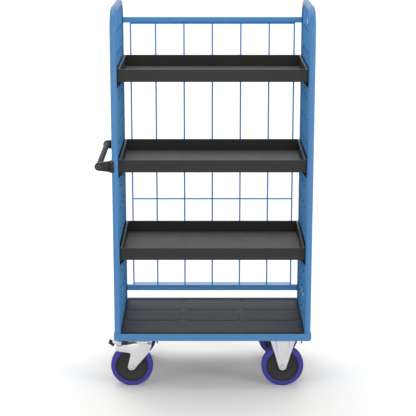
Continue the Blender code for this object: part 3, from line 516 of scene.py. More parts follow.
def make_end_sheets(sizes):
    """Make the perforated sheet of each end frame, with a drawn collar round each free hole."""
    panel_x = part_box("left_end_panel")[1][0]
    base = sizes.collar_width / 2
    reach = sizes.collar_height

    def raised(places, height):
        return np.column_stack([np.full(len(places), panel_x + height), places])

    cells, faces = sheet_cells(base)
    shells = [(raised(cells, 0.0), faces)]
    for row, z in enumerate(HOLE_HEIGHTS):
        if row in BRACKET_ROWS:
            continue
        for y in HOLE_COLUMNS:
            rings = []
            for share in COLLAR_SHARES:
                ring = circle(base - share * COLLAR_NARROWING, 4 * HOLE_QUARTER_STEPS) + (y, z)
                rings.append(raised(ring, share * reach))
            shells.append(grid_shell(np.stack(rings), wrap_columns=True))
    shift = middle("left_end_panel")[0] + middle("right_end_panel")[0]
    for side in SIDES:
        sheets = shells
        face_x = panel_x
        if side == "right":
            sheets = [moved(mirrored(shell, 0), (shift, 0.0, 0.0)) for shell in shells]
            face_x = shift - panel_x
        name = f"{side}_end_sheet"
        nodes = [f"{side}_end_panel"]
        # The sheets take a lighter copy of the blue coat, as painted light.
        sheet = new_piece(name, sheets, finish("inner_blue"), "frame", nodes, closed=False)
        # Each collar is painted darker towards its tip: painted shade.
        paint_shade_and_light(
            sheet, lambda places: -smooth_step(np.abs(places[:, 0] - face_x), 0.0, reach) * COLLAR_SHADE_SHARE
        )
        sheet.data.shade_flat()
        add_wall(sheet, SHEET_THICKNESS)


# Deck frame

RAIL_WALL = 0.0025
RAIL_CORNER_RADIUS = 0.012
RAIL_EDGE = 0.0008
EDGING_HEIGHT = 0.0012
EDGING_INSET = 0.0022
EDGING_GAP = 0.001
EDGING_ROUND_SHARE = 0.8
EDGING_ROUND_STEPS = 3
CLIP_PLACES = (-0.2215, 0.4555)
CLIP_DROP = 0.0115
CLIP_REACH = 0.020
CLIP_OUT = 0.008
CLIP_THICKNESS = 0.0025
CLIP_WIDTH = 0.006
CLIP_ROUND_SHARE = 0.25
CLIP_ROUND_STEPS = 2
CLIP_BEND_SHARE = 1.2
CLIP_BEND_STEPS = 4


def rail_shell(node, along, inward, bottom_radius, fold_radius):
    """Carry a folded channel along a rail's box. Its section runs from the open side over the top, down
    the outer face and back along the bottom, with a face closing each end.
    """
    low, high = (np.array(corner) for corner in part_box(node))
    across = 1 - along
    start = low[across] if inward > 0 else high[across]
    width = high[across] - low[across]
    section = rounded_path(
        [(width, high[2], 0.0), (0.0, high[2], 0.0), (0.0, low[2], 0.0), (width, low[2], 0.0)],
        [fold_radius, bottom_radius],
    )
    points = np.zeros((2, len(section), 3))
    points[:, :, along] = np.array([low[along], high[along]])[:, None]
    points[:, :, across] = start + inward * section[:, 0]
    points[:, :, 2] = section[:, 1]
    return grid_shell(points, caps=True)


def make_deck_frame(sizes):
    """Make the four folded rails. The end rails run the full depth and have a rounded lower edge."""
    rails = (
        ("front_rail", 0, 1, sizes.fold_radius),
        ("rear_rail", 0, -1, sizes.fold_radius),
        ("left_rail", 1, 1, RAIL_CORNER_RADIUS),
        ("right_rail", 1, -1, RAIL_CORNER_RADIUS),
    )
    for node, along, inward, bottom_radius in rails:
        shell = rail_shell(node, along, inward, bottom_radius, sizes.fold_radius)
        rail = new_piece(f"{node}_channel", [shell], finish("blue_paint"), "frame", [node])
        add_wall(rail, RAIL_WALL)
        soften_edges(rail, RAIL_EDGE)
    make_deck_edging()
    make_deck_clips()


def make_deck_edging():
    """Make the black strips that cover the top of the front and rear rails, between the end frames' legs:
    a flat bar with rounded edges, carried along the rail.
    """
    shells = []
    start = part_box("left_arch")[1][0] + EDGING_GAP
    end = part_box("right_arch")[0][0] - EDGING_GAP
    for face, word in FACES:
        low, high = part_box(f"{word}_rail")
        width = high[1] - low[1] - EDGING_INSET
        y = middle(f"{word}_rail")[1] - face * EDGING_INSET / 2
        radius = EDGING_HEIGHT * EDGING_ROUND_SHARE
        bar = rounded_rectangle(width / 2, EDGING_HEIGHT, radius, EDGING_ROUND_STEPS)
        shells.append(carried([(start, y, high[2]), (end, y, high[2])], bar, UP))
    new_piece("deck_edging", shells, finish("rim_plastic"), "frame")


def make_deck_clips():
    """Make the small bent clips under the front and rear rails: a flat bar that runs out below the rail
    and turns down.
    """
    half = CLIP_THICKNESS / 2
    bar = rounded_rectangle(half, CLIP_WIDTH / 2, CLIP_THICKNESS * CLIP_ROUND_SHARE, CLIP_ROUND_STEPS)
    shells = []
    for face, word in FACES:
        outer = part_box(f"{word}_rail")[0 if face < 0 else 1][1] - face * CLIP_OUT
        top = RAIL_BOTTOM - half
        for x in CLIP_PLACES:
            corners = [(x, outer - face * CLIP_REACH, top), (x, outer, top), (x, outer, top - CLIP_DROP)]
            path = rounded_path(corners, [CLIP_THICKNESS * CLIP_BEND_SHARE], CLIP_BEND_STEPS)
            shells.append(carried(path, bar, ALONG))
    new_piece("deck_clips", shells, finish("bracket_paint"), "frame")


# Deck

PAD_ROWS = 3
PAD_SLOPE = 0.0012
DECK_SKIN = 0.0045
DECK_EDGE_RADIUS = 0.0025
DECK_EDGE_STEPS = 3
DECK_BORDER = 0.018
BORDER_START_SHARE = 0.5
DECK_EDGE_SHADE_WIDTH = 0.012
EDGE_SHADE_START_SHARE = 0.6
GROOVE_LIGHT_SHARE = 0.5
DECK_LINES = 41
GROOVE_LINE_STEP = 0.0016
LEAST_LINE_STEP = 0.0002
LINE_DIGITS = 5
DECK_RIB_THICKNESS = 0.003
DECK_RIB_ROWS = 5
DECK_RIB_CORNER_RADIUS = 0.010
CROSS_RIB_SHARE = 0.75


def grid_lines(half, groove_places, reach):
    """Return the places of grid lines from -half to half: close together near the grooves and edges."""
    lines = [np.linspace(-half, half, DECK_LINES), groove_places]
    for place in groove_places:
        lines.append(np.arange(place - reach, place + reach, GROOVE_LINE_STEP))
    rim = DECK_EDGE_RADIUS * (1 - np.cos(np.linspace(0.0, QUARTER_TURN, DECK_EDGE_STEPS + 1)))
    for side in (-1, 1):
        lines.append(side * (half - rim))
    places = np.unique(np.round(np.concatenate(lines), LINE_DIGITS))
    return places[np.concatenate([[True], np.diff(places) > LEAST_LINE_STEP])]


def deck_rim(x, y, half_x, half_y):
    """Return how far a place is from the deck's rim."""
    return np.minimum(half_x - np.abs(x), half_y - np.abs(y))


def deck_groove(x, y, half_x, half_y, sizes):
    """Return how far a place is in a groove, from 0 on a pad to 1. Each pad is a rounded rectangle,
    outside which the surface drops over a soft step.
    """
    step_x = 2 * half_x / PAD_ROWS
    step_y = 2 * half_y / PAD_ROWS
    reach_x = np.abs((x + half_x) % step_x - step_x / 2)
    reach_y = np.abs((y + half_y) % step_y - step_y / 2)
    radius = sizes.pad_corner_radius
    edge_x = reach_x - (step_x - sizes.groove_width) / 2 + radius
    edge_y = reach_y - (step_y - sizes.groove_width) / 2 + radius
    outside = np.hypot(np.maximum(edge_x, 0.0), np.maximum(edge_y, 0.0)) - radius
    border = smooth_step(deck_rim(x, y, half_x, half_y), DECK_BORDER * BORDER_START_SHARE, DECK_BORDER)
    return smooth_step(outside, -PAD_SLOPE, PAD_SLOPE) * border


def deck_drop(x, y, half_x, half_y, sizes):
    """Return how far the deck's top lies below its highest level: the grooves, and the rim turned down
    along a quarter circle.
    """
    inside = np.clip(DECK_EDGE_RADIUS - deck_rim(x, y, half_x, half_y), 0.0, DECK_EDGE_RADIUS)
    turned_down = quarter_fall(inside, DECK_EDGE_RADIUS)
    return deck_groove(x, y, half_x, half_y, sizes) * sizes.groove_depth + turned_down


def deck_shade(places, half_x, half_y, sizes):
    """Return the deck's painted light and shade: above 0 in its grooves, which are painted paler as painted
    light, down to -1 along its edge, painted shade where the deck meets the rails.
    """
    x, y = places[:, 0], places[:, 1]
    groove = deck_groove(x, y, half_x, half_y, sizes)
    lip = smooth_step(deck_rim(x, y, half_x, half_y), DECK_EDGE_SHADE_WIDTH * EDGE_SHADE_START_SHARE, DECK_EDGE_SHADE_WIDTH)
    return groove * GROOVE_LIGHT_SHARE - (1 - lip)


def make_deck(sizes):
    """Make the moulded deck: a skin with three by three pads, on crossing ribs inside a skirt."""
    low, high = (np.array(corner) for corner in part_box("deck_panel"))
    centre = (low + high) / 2
    half_x, half_y = (high - low)[:2] / 2
    groove_shares = (np.arange(1, PAD_ROWS) / PAD_ROWS - 0.5) * 2
    reach = sizes.groove_width / 2 + sizes.pad_corner_radius
    lines = [grid_lines(half, groove_shares * half, reach) for half in (half_x, half_y)]
    x, y = np.meshgrid(*lines)
    drop = deck_drop(x, y, half_x, half_y, sizes)
    skin = grid_shell(np.stack([x + centre[0], y + centre[1], high[2] - drop], axis=-1))
    deck = new_piece("deck_mat", [skin], finish("deck_plastic"), "frame", ["deck_panel"])
    # Painted light in the grooves and painted shade along the deck's edge.
    paint_shade_and_light(deck, lambda places: deck_shade(places - centre, half_x, half_y, sizes))
    add_wall(deck, DECK_SKIN - sizes.groove_depth)
    top = high[2] - DECK_SKIN / 2 - sizes.groove_depth
    rib_z = (low[2] + top) / 2
    half_height = (top - low[2]) / 2
    reach_x = half_x - DECK_BORDER
    reach_y = half_y - DECK_BORDER
    ring = rounded_rectangle(reach_x, reach_y, DECK_RIB_CORNER_RADIUS)
    path = np.column_stack([ring + centre[:2], np.full(len(ring), rib_z)])
    bar = np.array(SQUARE) * (DECK_RIB_THICKNESS / 2, half_height)
    shells = [carried(path, bar, UP, closed=True)]
    cross_z = rib_z + half_height * (1 - CROSS_RIB_SHARE)
    for share in (np.arange(1, DECK_RIB_ROWS + 1) / (DECK_RIB_ROWS + 1) - 0.5) * 2:
        for start, end in (
            ((-reach_x, share * reach_y), (reach_x, share * reach_y)),
            ((share * reach_x, -reach_y), (share * reach_x, reach_y)),
        ):
            ends = np.column_stack([np.array([start, end]) + centre[:2], np.full(2, cross_z)])
            shells.append(carried(ends, bar * (1, CROSS_RIB_SHARE), UP))
    new_piece("deck_ribs", shells, finish("deck_plastic"), "frame")


# Back wall

WIRE_UPRIGHTS = (-0.396, -0.275, -0.1375, 0.0, 0.1375, 0.275, 0.396)
WIRE_CROSSINGS = (0.362, 0.802, 1.6755)
WIRE_STEP = 0.005
WIRE_END_STEPS = 2
WIRE_TIP_SHARE = 0.05
WIRE_WELD_SIZE = (0.006, 0.005, 0.006)
WIRE_WELD_EDGE = 0.0024
SQUARE_TUBE_EDGE = 0.0035


def wire(start, end, radius, up):
    """Return a straight wire with rounded ends: its radius falls along a quarter circle at each end."""
    start = np.array(start)
    end = np.array(end)
    way = (end - start) / np.linalg.norm(end - start)
    angle = np.linspace(0.0, QUARTER_TURN, WIRE_END_STEPS + 1)
    fall = radius * (1 - np.sin(angle))
    places = np.concatenate([start + way * fall[::-1, None], end - way * fall[:, None]])
    scale = np.concatenate([np.cos(angle)[::-1], np.cos(angle)])
    scale = np.maximum(scale, WIRE_TIP_SHARE)[:, None, None]
    ring = circle(radius, WIRE_SIDES)[None]
    section = ring[..., :1] * np.cross(up, way) + ring[..., 1:] * np.array(up)
    return grid_shell(places[:, None] + scale * section, wrap_columns=True, caps=True)


def make_back_wall(sizes):
    """Make the two square tubes and the welded net of upright and cross wires."""
    for level in ("upper", "lower"):
        node = f"{level}_back_tube"
        low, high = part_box(node)
        height = middle(node)[2]
        half = extent(node)[2] / 2
        outline = rounded_rectangle(half, half, SQUARE_TUBE_EDGE)
        shells = [carried([(low[0], TUBE_Y, height), (high[0], TUBE_Y, height)], outline, UP)]
        for x in (low[0], high[0]):
            loop = np.column_stack([np.full(len(outline), x), TUBE_Y + outline[:, 0], height + outline[:, 1]])
            shells.append(carried(loop, circle(sizes.weld_bead, BEAD_SIDES), ALONG, closed=True))
        # The square tubes take a lighter copy of the blue coat, as painted light.
        new_piece(f"{level}_square_tube", shells, finish("inner_blue"), "frame", [node])
    low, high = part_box("back_mesh")
    radius = sizes.wire_diameter / 2
    behind = TUBE_Y + WIRE_STEP
    shells = []
    for place in WIRE_UPRIGHTS:
        x = DECK_MIDDLE_X + place
        shells.append(wire((x, TUBE_Y, low[2]), (x, TUBE_Y, high[2]), radius, ALONG))
        for z in WIRE_CROSSINGS:
            weld = rounded_box(WIRE_WELD_SIZE, WIRE_WELD_EDGE)
            shells.append(moved(weld, (x, (TUBE_Y + behind) / 2, z)))
    for z in WIRE_CROSSINGS:
        shells.append(wire((low[0], behind, z), (high[0], behind, z), radius, UP))
    # The net takes a lighter copy of the blue coat, as painted light.
    new_piece("wire_net", shells, finish("wire_blue"), "frame", ["back_mesh"])


# Trays

TRAY_RIM = 0.010
TRAY_FLOOR_DEPTH = 0.054
TRAY_WALL = 0.0015
TRAY_CORNER_RADIUS = 0.004
TRAY_INNER_RADIUS = 0.006
TRAY_FOLD_STEPS = 3
TRAY_EDGE = 0.0004
TRAY_INSIDE_SHARE = 0.25
TRAY_FLOOR_REACH = 0.0005
FLOOR_SHEEN_SHARE = 0.6
INNER_SHADE_SHARE = 1.0
END_WALL_LIGHT_SHARE = 0.5


def tray_shell(node, fold):
    """Stack rounded rectangles from the skirt's lower edge over the rim and down to the floor. Between
    them each fold is a quarter circle of inset and height.
    """
    low, high = (np.array(corner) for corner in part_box(node))
    half_x, half_y = (high - low)[:2] / 2
    angle = np.linspace(0.0, QUARTER_TURN, TRAY_FOLD_STEPS + 1)
    rise = fold * np.sin(angle)
    inset = fold * (1 - np.cos(angle))
    floor = high[2] - TRAY_FLOOR_DEPTH
    levels = [(0.0, low[2])]
    levels += list(zip(inset, high[2] - fold + rise))
    levels += list(zip(TRAY_RIM - inset[::-1], high[2] - fold + rise[::-1]))
    levels += list(zip(TRAY_RIM + inset, floor + fold - rise))
    loops = []
    for move, height in levels:
        corner = TRAY_CORNER_RADIUS if move < TRAY_RIM / 2 else TRAY_INNER_RADIUS
        loop = rounded_rectangle(half_x - move, half_y - move, corner)
        loops.append(np.column_stack([loop, np.full(len(loop), height)]))
    points, faces = grid_shell(np.stack(loops), wrap_columns=True)
    faces.append(list(range(len(points) - len(loops[-1]), len(points))))
    centre = (low + high) / 2
    return points + (centre[0], centre[1], 0.0), faces


def tray_shade(places, node):
    """Return a tray's painted shade and light: its front and rear rims and inner walls are darker, painted
    shade, its floor is paler, a painted reflection, and its end walls are paler, painted light.
    """
    low, high = (np.array(corner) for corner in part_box(node))
    reach = (high - low)[:2] / 2 - np.abs(places[:, :2] - (low + high)[:2] / 2)
    depth = high[2] - places[:, 2]
    inside = reach.min(axis=1) > TRAY_RIM * TRAY_INSIDE_SHARE
    end_wall = reach[:, 0] < reach[:, 1]
    floor = depth > TRAY_FLOOR_DEPTH - TRAY_FLOOR_REACH
    walls = np.where(end_wall, END_WALL_LIGHT_SHARE, -INNER_SHADE_SHARE)
    return np.where(floor, FLOOR_SHEEN_SHARE, np.where(inside, walls, 0.0))


def make_trays(sizes):
    """Make the three sheet-steel trays."""
    for level in LEVELS:
        node = f"{level}_tray"
        shell = tray_shell(node, sizes.tray_fold_radius)
        name = f"{level}_tray_shell"
        tray = new_piece(name, [shell], finish("black_paint"), f"{node}_body", [node])
        # Painted shade on the rims and inner walls, painted light on the floor and end walls.
        paint_shade_and_light(tray, lambda places: tray_shade(places, node))
        add_wall(tray, TRAY_WALL)
        soften_edges(tray, TRAY_EDGE, 1)


# Brackets of the trays

BRACKET_SHEET = 0.0025
BRACKET_BEND = 0.002
BRACKET_SMALL_BEND = 0.0008
BRACKET_BEND_STEPS = 3
GUSSET_THICKNESS = 0.003
GUSSET_INSET = 0.004
GUSSET_EDGE = 0.0005
PEG_BELOW_TOP = 0.012
PEG_SINK = 0.0005
PEG_PROFILE = (
    (0.0, 0.0072), (0.0044, 0.0072), (0.0055, 0.0062), (0.0055, 0.0042), (0.0038, 0.0040), (0.0038, -0.0012),
    (0.0, -0.0012),
)


def bracket_shells(node, side):
    """Carry the bracket's bent section along Y, and add a gusset at each end and hooked pegs. Places are
    worked out for the left end and mirrored for the right one.
    """
    low, high = (np.array(corner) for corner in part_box(node))
    if side == "right":
        low[0], high[0] = -high[0], -low[0]
    inner_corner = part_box(f"{side}_end_panel")[1 if side == "left" else 0]
    leaf = TOUCH_GAP - abs(inner_corner[0])
    inner = leaf + BRACKET_SHEET
    end = high[0]
    tray_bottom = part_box(node.replace(f"_{side}_bracket", "_tray"))[0][2] - TOUCH_GAP
    bottom = tray_bottom - BRACKET_SHEET
    corners = [
        (leaf, low[2]), (inner, low[2]), (inner, bottom), (end, bottom), (end, tray_bottom),
        (inner, tray_bottom), (inner, high[2]), (leaf, high[2]), (leaf, low[2]),
    ]
    small = BRACKET_SMALL_BEND
    radii = [0.0, BRACKET_BEND, small, small, BRACKET_BEND, small, small]
    section = rounded_path([(x, z, 0.0) for x, z in corners], radii, BRACKET_BEND_STEPS)[:-1, :2]
    shells = [standing(prism(section, -high[1], -low[1]))]
    half = BRACKET_SHEET / 2
    gusset = np.array([
        (leaf + half, low[2] + half), (inner, low[2] + half), (end - half, bottom),
        (end - half, bottom + half), (leaf + half, bottom + half),
    ])
    plate = standing(slab(gusset, 0.0, GUSSET_THICKNESS, GUSSET_EDGE))
    for y in (low[1] + GUSSET_INSET + GUSSET_THICKNESS, high[1] - GUSSET_INSET):
        shells.append(moved(plate, (0.0, y, 0.0)))
    peg = lathed(PEG_PROFILE, SMALL_STEPS)
    for y in HOLE_COLUMNS:
        shells.append(moved(peg, (leaf + PEG_SINK, y, high[2] - PEG_BELOW_TOP), turn_about("Y", -90)))
    if side == "right":
        shells = [mirrored(shell, 0) for shell in shells]
    return shells


def make_brackets():
    """Make the six brackets that the trays rest on."""
    for level in LEVELS:
        for side in SIDES:
            node = f"{level}_{side}_bracket"
            shells = bracket_shells(node, side)
            new_piece(f"{node}_sheet", shells, finish("bracket_paint"), "frame", [node])


# Handle

ARM_ROOT_HALF = 0.024
ARM_ROOT_EDGE = 0.002
ARM_ROOT_STEPS = 3
ARM_END_RADIUS = 0.018
ARM_END_STEPS = 24
ARM_EDGE = 0.004
CAP_RING = (
    (0.0072, 0.0004), (0.0080, 0.0010), (0.0100, 0.0010), (0.0108, 0.0002), (0.0108, -0.0020),
    (0.0072, -0.0020),
)
CAP_CENTRE = ((0.0, 0.0008), (0.0026, 0.0006), (0.0034, -0.0020), (0.0, -0.0020))
GRIP_STEP_DEPTH = 0.0008
GRIP_STEP_LENGTH = 0.0006
CLAMP_CORNER_RADIUS = 0.0025
CLAMP_CORNER_STEPS = 4
CLAMP_BORE_STEPS = 16
CLAMP_EDGE = 0.0008
CLAMP_EDGE_STEPS = 2
SCREW_PROFILE = ((0.0, 0.0022), (0.003, 0.0020), (0.0045, 0.0006), (0.0045, -0.001), (0.0, -0.001))
SCREW_PLACES = (-0.016, 0.016)
SCREW_INSET = 0.006


def arm_outline():
    """Return the arm's side outline about the grip's centre: a round end, and two straight edges that
    open out to the clamp.
    """
    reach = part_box("front_handle_arm")[1][0] - middle("handle_grip")[0]
    distance = math.hypot(reach, ARM_ROOT_HALF)
    tangent = math.atan2(ARM_ROOT_HALF, reach) + math.acos(ARM_END_RADIUS / distance)
    curve = arc_points((0.0, 0.0), ARM_END_RADIUS, tangent, FULL_TURN - tangent, ARM_END_STEPS)
    root = rounded_rectangle(reach, ARM_ROOT_HALF, ARM_ROOT_EDGE, ARM_ROOT_STEPS)
    count = ARM_ROOT_STEPS + 1
    return np.concatenate([curve, root[-count:], root[:count]])


def clamp_shells(node, face):
    """Return a clamp's block, which is bored out for the end frame's tube, with two screws in the side
    that faces inwards.
    """
    centre = middle(node)
    size = extent(node)
    tube_x = middle("left_arch")[0]
    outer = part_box(node)[0][0]
    edge_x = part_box(node)[1][0]
    half_y = size[1] / 2
    bore = TUBE_RADIUS + TOUCH_GAP
    opening = math.acos((tube_x - edge_x) / bore)
    corner_x = outer + CLAMP_CORNER_RADIUS
    corner_y = half_y - CLAMP_CORNER_RADIUS
    arcs = []
    for way, start in ((1, QUARTER_TURN), (-1, math.pi)):
        centre_of_arc = (corner_x, way * corner_y)
        arcs.append(
            arc_points(centre_of_arc, CLAMP_CORNER_RADIUS, start, start + QUARTER_TURN, CLAMP_CORNER_STEPS)
        )
    saddle = arc_points((tube_x, 0.0), bore, math.pi - opening, math.pi + opening, CLAMP_BORE_STEPS)[::-1]
    outline = np.concatenate([[(edge_x, half_y)], *arcs, [(edge_x, -half_y)], saddle])
    block = slab(outline, -size[2] / 2, size[2] / 2, CLAMP_EDGE, CLAMP_EDGE_STEPS)
    shells = [moved(block, centre * (0, 1, 1))]
    for z in SCREW_PLACES:
        screw = lathed(SCREW_PROFILE, SMALL_STEPS)
        place = (edge_x - SCREW_INSET, centre[1] - face * half_y, centre[2] + z)
        shells.append(moved(screw, place, turn_about("X", 90 * face)))
    return shells


def make_handle(sizes):
    """Make the push handle: a grip with a collar at each end, two tapered arms with round ends and caps,
    and two clamps.
    """
    grip_x, _, grip_z = middle("handle_grip")
    low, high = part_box("handle_grip")
    half = high[1]
    radius = (high[0] - low[0]) / 2
    step = half - sizes.grip_collar
    profile = mirror_profile([
        (0.0, half), (radius, half), (radius, step), (radius - GRIP_STEP_DEPTH, step - GRIP_STEP_LENGTH),
    ])
    grip = moved(standing(lathed(profile)), (grip_x, 0.0, grip_z))
    new_piece("push_grip", [grip], finish("grip_plastic"), "frame", ["handle_grip"])
    for face, word in FACES:
        node = f"{word}_handle_arm"
        y = middle(node)[1]
        half = extent(node)[1] / 2
        arm = moved(standing(slab(arm_outline(), -half, half, ARM_EDGE)), (grip_x, y, grip_z))
        new_piece(f"{word}_arm", [arm], finish("handle_plastic"), "frame", [node])
        outside = (grip_x, y + face * half, grip_z)
        shells = [lathed(CAP_RING, SMALL_STEPS, ring=True), lathed(CAP_CENTRE, SMALL_STEPS)]
        shells = [moved(shell, outside, turn_about("X", -90 * face)) for shell in shells]
        new_piece(f"{word}_arm_cap", shells, finish("grip_plastic"), "frame")
        node = f"{word}_handle_clamp"
        shells = clamp_shells(node, face)
        new_piece(f"{word}_clamp", shells, finish("handle_plastic"), "frame", [node])


# Wheels

WHEEL_RADIUS = 0.100
RIM_BACK = 0.006
RIM_OUTER_STEPS = ((0.0, 0.0012), (0.0012, 0.0), (0.008, 0.0), (0.0095, 0.0008), (0.020, 0.0040))
RIM_WEB_STEPS = ((0.016, 0.0050), (0.006, 0.0046), (0.002, 0.0025))
HUB_RADIUS = 0.023
HUB_EDGE = 0.0015
HUB_BORE_RADIUS = 0.0064
RIM_EDGE_WIDTH = 0.011
RIM_SHADE_SHARE = 0.55
TYRE_LIP_STEPS = ((0.0, 0.0016), (0.0016, 0.0), (0.006, 0.0), (0.0068, 0.0006))
TYRE_WALL_END = (0.010, 0.0006)
SHOULDER_RADIUS = 0.009
SHOULDER_DROP = 0.0095
SHOULDER_DEGREES = 80
SHOULDER_STEPS = 6
AXLE_RADIUS = 0.006
AXLE_END_GAP = 0.001
AXLE_NUT_DEPTH = 0.006
AXLE_NUT = {"radius": 0.0088, "length": 0.0046, "edge": 0.0008}
AXLE_WASHER = ((0.006, 0.0014), (0.0098, 0.0014), (0.0100, 0.0010), (0.0100, 0.0), (0.006, 0.0))
AXLE_WASHER_HEIGHT = 0.0014
BOLT_SHADE_RING_RADIUS = 0.0093
BOLT_SHADE_RING_WIDTH = 0.0010
BOLT_SHADE_RING_SHARE = 0.45
BOLT_SHADE_SHARE = 0.1


def rim_profile(node):
    """Return the rim's section: a flanged outer ring, a dished web with a raised ring, and a hub."""
    size = extent(node)
    radius = size[0] / 2
    half_hub = size[1] / 2
    half_rim = half_hub - RIM_BACK
    upper = [(radius - inset, half_rim - drop) for inset, drop in RIM_OUTER_STEPS]
    upper += [(HUB_RADIUS + out, half_rim - drop) for out, drop in RIM_WEB_STEPS]
    upper += [(HUB_RADIUS, half_hub - HUB_EDGE), (HUB_RADIUS - HUB_EDGE, half_hub)]
    upper += [(HUB_BORE_RADIUS, half_hub)]
    return mirror_profile(upper)


def tyre_profile(node):
    """Return the tyre's section: a flat tread, round shoulders and side walls with a fine raised line."""
    half = extent(node)[1] / 2
    seat = extent(node.replace("tyre", "rim"))[0] / 2 + TOUCH_GAP
    centre = (WHEEL_RADIUS - SHOULDER_RADIUS, half - SHOULDER_DROP)
    shoulder = arc_points(centre, SHOULDER_RADIUS, 0.0, math.radians(SHOULDER_DEGREES), SHOULDER_STEPS)
    upper = [(seat + out, half - drop) for out, drop in TYRE_LIP_STEPS]
    upper += [(WHEEL_RADIUS - TYRE_WALL_END[0], half - TYRE_WALL_END[1])]
    upper += [tuple(point) for point in shoulder[::-1]]
    return mirror_profile(upper)


def axle_shells(node):
    """Return a wheel bolt along Z, with a washer and a nut or head at each end."""
    half = extent(node)[1] / 2
    reach = half - AXLE_END_GAP
    shells = [lathed(mirror_profile([(0.0, reach), (AXLE_RADIUS, reach)]), SMALL_STEPS)]
    for degrees in (180, 0):
        washer = lathed(AXLE_WASHER, SMALL_STEPS, ring=True)
        head = moved(nut(**AXLE_NUT), (0.0, 0.0, AXLE_WASHER_HEIGHT))
        for part in (washer, head):
            shells.append(turned(moved(part, (0.0, 0.0, half - AXLE_NUT_DEPTH)), "X", degrees))
    return shells


def rim_shade(reach, edge):
    """Return a rim's painted shade by the distance from its middle: a dark ring next to the tyre, painted
    shade in the gap.
    """
    return -RIM_SHADE_SHARE * smooth_step(reach, edge, edge + RIM_EDGE_WIDTH / 3)


def bolt_shade(reach):
    """Return a wheel bolt's painted shade by the distance from its middle: a dark ring round head and washer,
    and the whole bolt a little darker.
    """
    return -BOLT_SHADE_RING_SHARE * bell(reach, BOLT_SHADE_RING_RADIUS, BOLT_SHADE_RING_WIDTH) - BOLT_SHADE_SHARE


def make_wheels():
    """Make the four wheels: rim, tyre and the bolt that each one turns on."""
    for kind in ("fixed", "swivel"):
        for _, word in FACES:
            name = f"{word}_{kind}"
            wheel = f"{name}_wheel"
            holder = "frame" if kind == "fixed" else f"{name}_head"
            place = middle(f"{name}_rim")
            part = f"{name}_rim"
            shells = [moved(standing(lathed(rim_profile(part), ring=True)), place)]
            rim = new_piece(f"{wheel}_rim", shells, finish("rim_plastic"), wheel, [part])
            edge = extent(part)[0] / 2 - RIM_EDGE_WIDTH
            # A dark ring of painted shade next to the tyre.
            paint_shade_and_light(rim, lambda places: rim_shade(level_reach(places, place), edge))
            part = f"{name}_tyre"
            shells = [moved(standing(lathed(tyre_profile(part), ring=True)), place)]
            new_piece(f"{wheel}_tyre", shells, finish("tyre_rubber"), wheel, [part])
            part = f"{name}_axle"
            shells = [moved(standing(shell), place) for shell in axle_shells(part)]
            bolt = new_piece(f"{wheel}_bolt", shells, finish("zinc_plate"), holder, [part])
            # A ring of painted shade round the bolt's head and washer.
            paint_shade_and_light(bolt, lambda places: bolt_shade(level_reach(places, place)))


# Plates and fixed brackets of the casters

PLATE_TOP = 0.245
PLATE_THICKNESS = 0.004
PLATE_HALVES = (0.070, 0.055)
PLATE_CORNER = 0.010
PLATE_EDGE = 0.0012
BOLT_PLACES = tuple((x, y) for x in (-0.0525, 0.0525) for y in (-0.040, 0.040))
BOLT_SHANK = (
    (0.0, 0.2540), (0.0034, 0.2540), (0.004, 0.2534), (0.004, 0.2372), (0.0034, 0.2366), (0.0, 0.2366),
)
BOLT_WASHER = ((0.004, 0.0008), (0.0074, 0.0008), (0.0074, 0.0), (0.004, 0.0))
WASHER_DROP = 0.0048
BOLT_NUT = {"radius": 0.0075, "length": 0.0038, "edge": 0.0007}
BOLT_NUT_DROP = 0.0088
BOLT_HEAD = {"radius": 0.0075, "length": 0.0046, "edge": 0.0007}
BOLT_HEAD_RISE = 0.0048
FORK_OUTER = 0.0283
LEG_TOP = 0.241
LEG_ROOT_HALF = 0.063
LEG_END_RADIUS = 0.0175
LEG_END_STEPS = 12
LEG_LINES = 40
LEG_COLUMNS = 97
LEG_LEAST_WIDTH = 0.0002
LEG_EDGE = 0.0006
LEG_RIB_SHARES = (0.22, 0.55)
LIP_START_RADII = 3
FALL_SHARE = 0.999
CREASE_PLACE = 0.0305
CREASE_WIDTH = 0.0032
CREASE_SHARES = (0.42, 0.80)
CREASE_DARKNESS_SHARE = 0.34
LEG_LINE_DROP = 0.011
LEG_LINE_WIDTH = 0.0022
LEG_LINE_SHARE = 0.30
LEG_BAND_DROPS = (0.008, 0.004)
LEG_BAND_SHARE = 0.5
LEG_RING_RADIUS = 0.0112
LEG_RING_WIDTH = 0.0010
LEG_RING_SHARE = 0.35


def plate_shells(place):
    """Return a caster's top plate with its bolts, washers and nuts."""
    outline = rounded_rectangle(*PLATE_HALVES, PLATE_CORNER)
    shells = [slab(outline, PLATE_TOP - PLATE_THICKNESS, PLATE_TOP, PLATE_EDGE)]
    for x, y in BOLT_PLACES:
        shells.append(moved(lathed(BOLT_SHANK, SMALL_STEPS), (x, y, 0.0)))
        shells.append(moved(lathed(BOLT_WASHER, SMALL_STEPS, ring=True), (x, y, PLATE_TOP - WASHER_DROP)))
        shells.append(moved(nut(**BOLT_NUT), (x, y, PLATE_TOP - BOLT_NUT_DROP)))
        shells.append(moved(nut(**BOLT_HEAD), (x, y, PLATE_TOP + BOLT_HEAD_RISE)))
    return [moved(shell, (place[0], place[1], 0.0)) for shell in shells]


